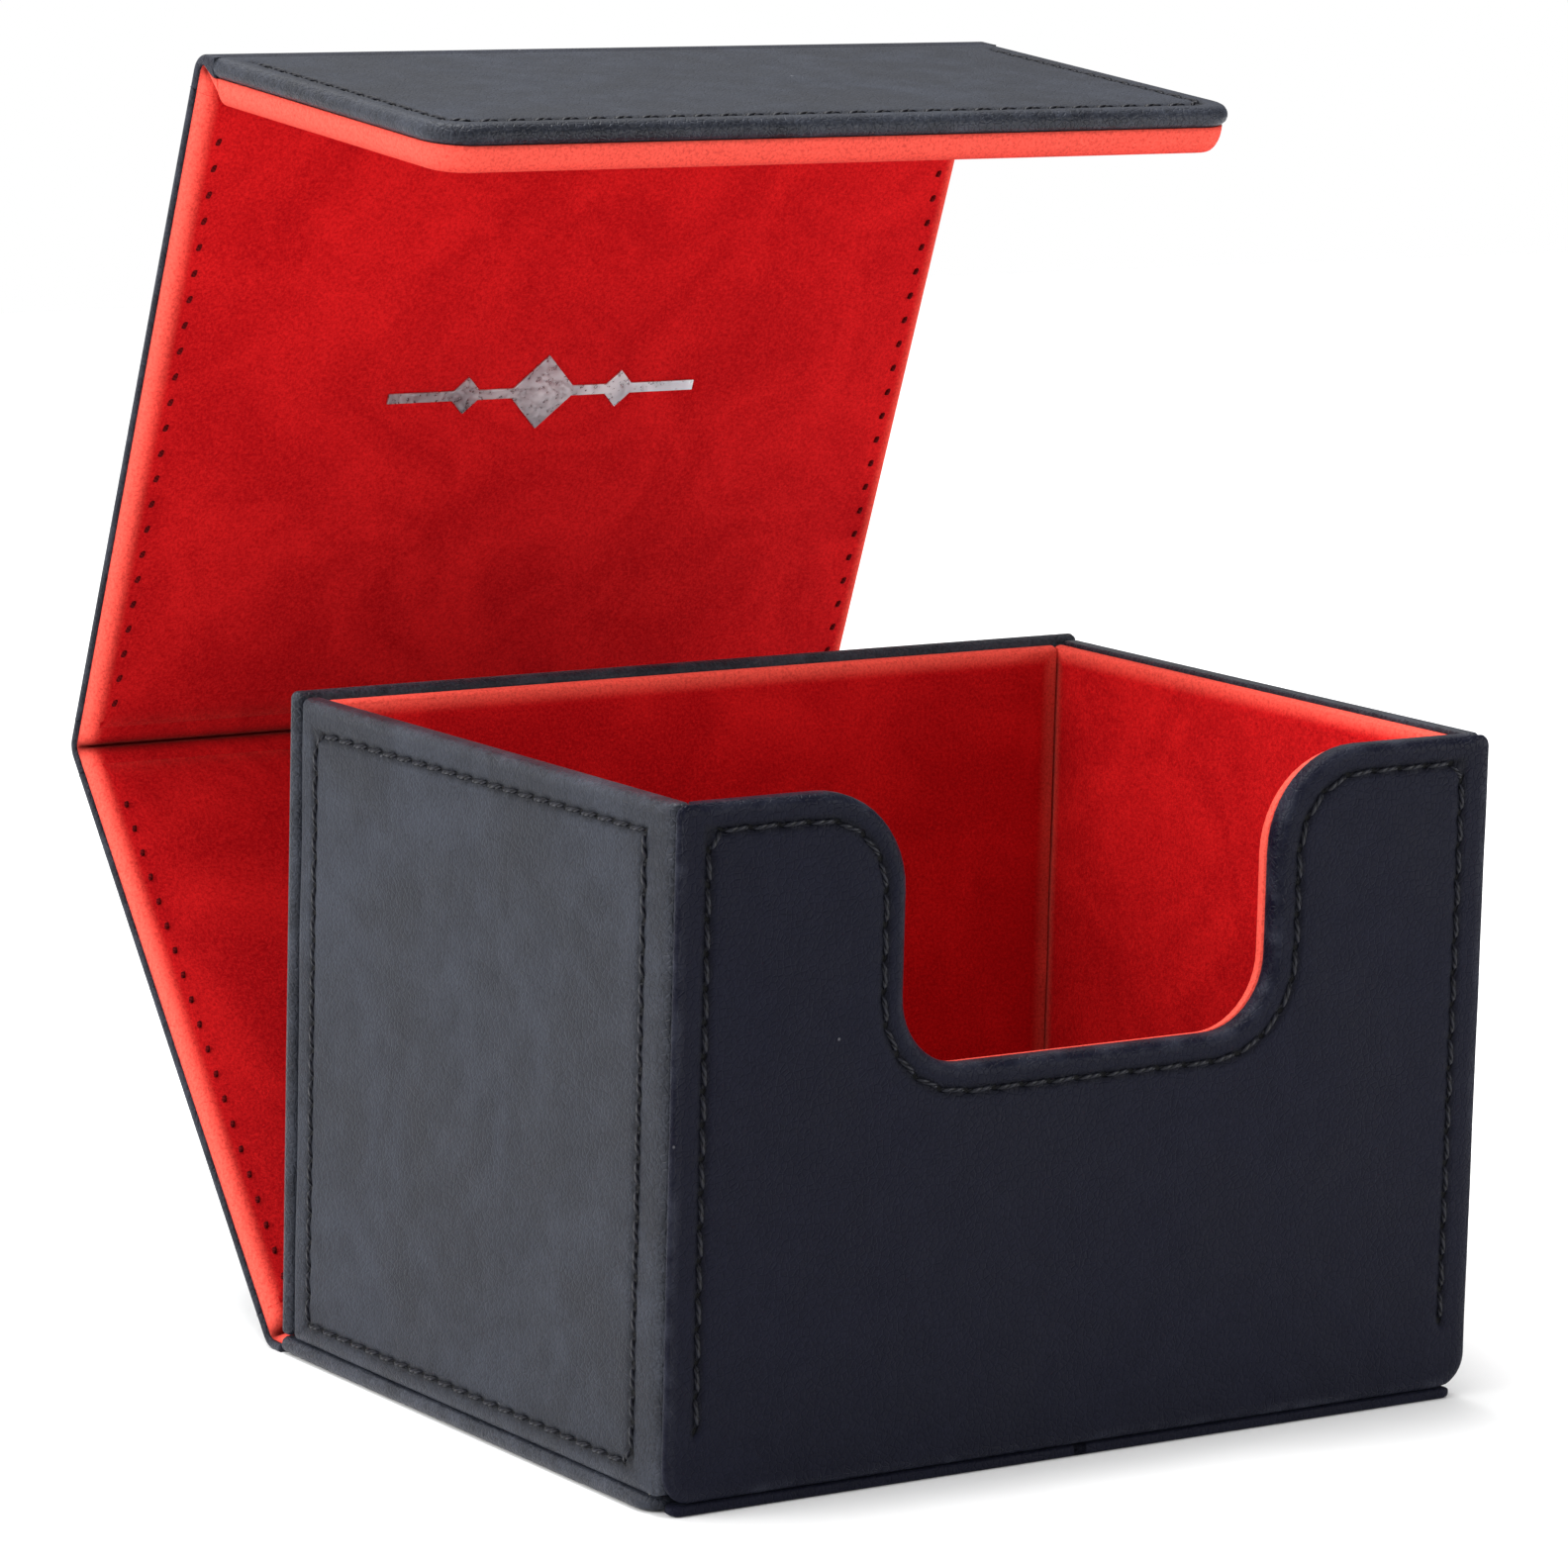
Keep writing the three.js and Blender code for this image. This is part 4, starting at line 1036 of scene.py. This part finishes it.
def stitches(name, rows, materials):
    """Rows are (ruler, starts, ends, depth, lift, radius), with one material each. The thread's
    middle follows the chord from start to end, slants a little across it, and rises by
    lift * (1 - (2t - 1)^4)."""
    points, maps, kinds = [], [], []
    t = np.linspace(0, 1, STATIONS)
    turn = 2 * np.pi * np.arange(SIDES + 1) / SIDES
    for place, starts, ends, depth, lift, radius in rows:
        chord = ends - starts
        unit = chord / np.linalg.norm(chord, axis=1)[:, None]
        side = np.stack([-unit[:, 1], unit[:, 0]], 1)
        path = starts[:, None] + chord[:, None] * (0.04 + 0.92 * t)[None, :, None]
        path = path + side[:, None] * (0.26 * (t - 0.5))[None, :, None]
        height = depth - lift * (1 - np.abs(2 * t - 1) ** 4)
        thick = radius * (1 - 0.75 * np.abs(2 * t - 1) ** 8)
        ring = thick[:, None] * np.cos(turn)
        flat = path[:, :, None] + side[:, None, None] * ring[None, :, :, None]
        up = height[:, None] - thick[:, None] * np.sin(turn)
        up = np.broadcast_to(up, flat.shape[:3])
        points.append(in_frame(place, np.concatenate([flat, up[..., None]], -1)))
        one = np.stack(np.meshgrid(t, turn / (2 * np.pi), indexing="ij"), -1)
        maps.append(np.broadcast_to(one, flat.shape[:3] + (2,)))
        kinds.append(np.full(len(starts), len(kinds)))
    points, maps, kinds = (np.concatenate(part) for part in (points, maps, kinds))
    count = len(points)
    index = np.arange(points[..., 0].size).reshape(count, STATIONS, SIDES + 1)
    quads = [index[:, :-1, :-1], index[:, 1:, :-1], index[:, 1:, 1:], index[:, :-1, 1:]]
    faces = np.stack(quads, -1).reshape(-1, 4).tolist()
    faces += index[:, 0, :-1].tolist() + index[:, -1, :-1].tolist()
    tubes = np.repeat(kinds, (STATIONS - 1) * SIDES)
    made = built(
        name, points.reshape(-1, 3), faces, maps.reshape(-1, 2), materials, doubles=1e-6,
        kinds=np.concatenate([tubes, kinds, kinds]),
    )  # fmt: skip
    print(f"{name}: {count} stitches")
    return made


def row(place, seam, depth=0.5, lift=0.36, radius=0.26):
    """A row over a whole seam."""
    return (place, seam.holes[:-1], seam.holes[1:], depth, lift, radius)


# %% Sew the panels
for name, panel, seam, body, node in (
    ("front_panel_stitches", "front", front_seam, "tray", "front_thread"),
    ("left_wall_stitches", "left", wall_seams["left"], "tray", "left_thread"),
    ("right_wall_stitches", "right", wall_seams["right"], "tray", "right_thread"),
    ("flap_stitches", "flap", flap_seam, "flap", "flap_thread"),
):
    made = stitches(name, [row(PLACE[panel], seam)], [grey_thread])
    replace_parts(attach(made, body), node)

# %% Sew the lid's ends
LID_PITCH = 3.05
MARK = np.array([0, 0.5])  # half of a stitch's mark on the lining's side

for name in ("lid_back", "lid_top"):
    place = PLACE[name]
    for side in ("left", "right"):
        low, high = measured(f"{name}_thread_{side}", place)
        middle = (low[0] + high[0]) / 2
        holes = np.arange(low[1], high[1] + 0.1, LID_PITCH)
        spot = np.stack([np.full(len(holes), middle), holes], 1)
        rows = [(place, spot - MARK, spot + MARK, 2.62, -0.16, 0.3)]
        rows.append((place, spot[:-1], spot[1:], 0.3, 0.4, 0.32))
        made = stitches(f"{name}_stitches_{side}", rows, [dark_thread, grey_thread])
        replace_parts(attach(made, name), f"{name}_thread_{side}")

# %% [markdown]
# ## Board, magnets and foil
# These keep the frame's own shapes and get a finish: pulpy greyboard, nickel plating, and a silver
# foil that has taken up the texture of the nap it was pressed into.

# %% Finishes for the frame's pieces
greyboard, tree, shader, where = material("greyboard")
pulp = noise(tree, where, 1800.0, 4, 0.7)
base = blended(tree, between(tree, pulp, 0.35, 0.7), colour(112, 108, 101), colour(160, 156, 148))
finish_with(tree, shader, base, 0.9, pulp, 0.4, 0.0002)

nickel, tree, shader, where = material("nickel_plate")
constants(shader, Metallic=1.0)
smear = noise(tree, where, 500.0, 3, 0.6)
base = blended(tree, smear, colour(170, 172, 176), colour(205, 206, 208))
finish_with(tree, shader, base, between(tree, smear, 0.3, 0.7, 0.18, 0.34))

foil, tree, shader, where = material("silver_foil")
constants(shader, Metallic=1.0)
crease_shade_and_foil_grain = noise(tree, where, 1400.0, 4, 0.65)
slow = noise(tree, where, 160.0, 2, 0.5)
base = blended(tree, between(tree, slow, 0.35, 0.65), colour(196, 196, 202), colour(240, 240, 244))
finish_with(tree, shader, base, between(tree, crease_shade_and_foil_grain, 0.3, 0.7, 0.25, 0.4), crease_shade_and_foil_grain, 0.25, 0.0001)

for name, node in frame["nodes"].items():
    finish = greyboard if name.endswith("_board") else nickel if "magnet" in name else None
    if name == "foil_ornament":
        finish = foil
    if finish:
        node.data.materials.clear()
        node.data.materials.append(finish)

# %% [markdown]
# ## The studio
# A pale floor, a white surround and three soft square lights. The strongest hangs overhead, the
# second stands like a window on the left, and a weak one in front lifts the inside of the lid.

# %% Floor, lights and camera
floor_mesh = bpy.data.meshes.new("floor")
corners = [(-1.0, -1.0, 0), (1.0, -1.0, 0), (1.0, 1.0, 0), (-1.0, 1.0, 0)]
floor_mesh.from_pydata(corners, [], [(0, 1, 2, 3)])
floor = bpy.data.objects.new("floor", floor_mesh)
bpy.context.scene.collection.objects.link(floor)
pale, tree, shader, where = material("pale_floor")
shade = between(tree, noise(tree, where, 30.0, 2), 0.3, 0.7)
finish_with(tree, shader, blended(tree, shade, colour(244, 244, 244), colour(248, 248, 248)), 0.8)
floor_mesh.materials.append(pale)

# The camera sees white all round. The light itself comes from above and the left, and is dimmer
# from the front, so the surround is a slope along a direction and not one colour.
world = bpy.data.worlds.new("white_surround")
bpy.context.scene.world = world
world.use_nodes = True
tree = world.node_tree
tree.nodes.clear()
ray = put(tree, "TexCoord").outputs["Generated"]
lit_from = put(tree, "VectorMath", {"operation": "DOT_PRODUCT"}, i0=ray, i1=(-0.62, 0.3, 0.72))
strength = between(tree, lit_from.outputs["Value"], -0.35, 0.85, 0.08, 1.5)
light = put(tree, "Background", {}, Color=(1, 1, 1, 1), Strength=strength)
seen = put(tree, "Background", {}, Color=(1, 1, 1, 1), Strength=1.0)
either = put(
    tree, "MixShader", {}, i0=put(tree, "LightPath").outputs["Is Camera Ray"], i1=light.outputs[0],
    i2=seen.outputs[0],
)
tree.links.new(either.outputs[0], put(tree, "OutputWorld").inputs[0])


def soft_light(name, place, target, size, power):
    """A square area light at a place, turned to face a target."""
    lamp = bpy.data.lights.new(name, "AREA")
    lamp.size, lamp.energy = size, power
    made = bpy.data.objects.new(name, lamp)
    made.location = place
    made.rotation_euler = (Vector(target) - Vector(place)).to_track_quat("-Z", "Y").to_euler()
    bpy.context.scene.collection.objects.link(made)


TARGET = (0, 0, 0.06)
soft_light("left_window", (-0.8, 0.1, 0.45), TARGET, 0.4, 4.5)
soft_light("overhead", (-0.1, 0.2, 0.9), TARGET, 0.45, 8)
soft_light("front_fill", (0.36, -0.36, 0.1), (0.02, 0.08, 0.1), 0.25, 1.3)

# The camera stands in front of the box and to its left, a little above it, and is tilted a little.
LOOK_AT = np.array([0, 0, 0.06])
TURN, RISE, ROLL = np.radians([-34.004, 9.669, 1.467])
AWAY = 0.718899  # metres from the box
ASIDE, ABOVE = -0.010619, 0.003405  # where the middle of the picture is, from LOOK_AT
back = np.array([np.sin(TURN) * np.cos(RISE), -np.cos(TURN) * np.cos(RISE), np.sin(RISE)])
level = np.array([np.cos(TURN), np.sin(TURN), 0])
right = level * np.cos(ROLL) + np.cross(back, level) * np.sin(ROLL)
up = np.cross(back, right)
place = LOOK_AT + right * ASIDE + up * ABOVE + back * AWAY
lens = bpy.data.cameras.new("camera")
lens.sensor_width, lens.lens = 36.0, 158.09
camera = bpy.data.objects.new("camera", lens)
camera.matrix_world = Matrix.Translation(place) @ Matrix((right, up, back)).transposed().to_4x4()
bpy.context.scene.collection.objects.link(camera)
bpy.context.scene.camera = camera
bpy.context.scene.view_settings.view_transform = "Standard"
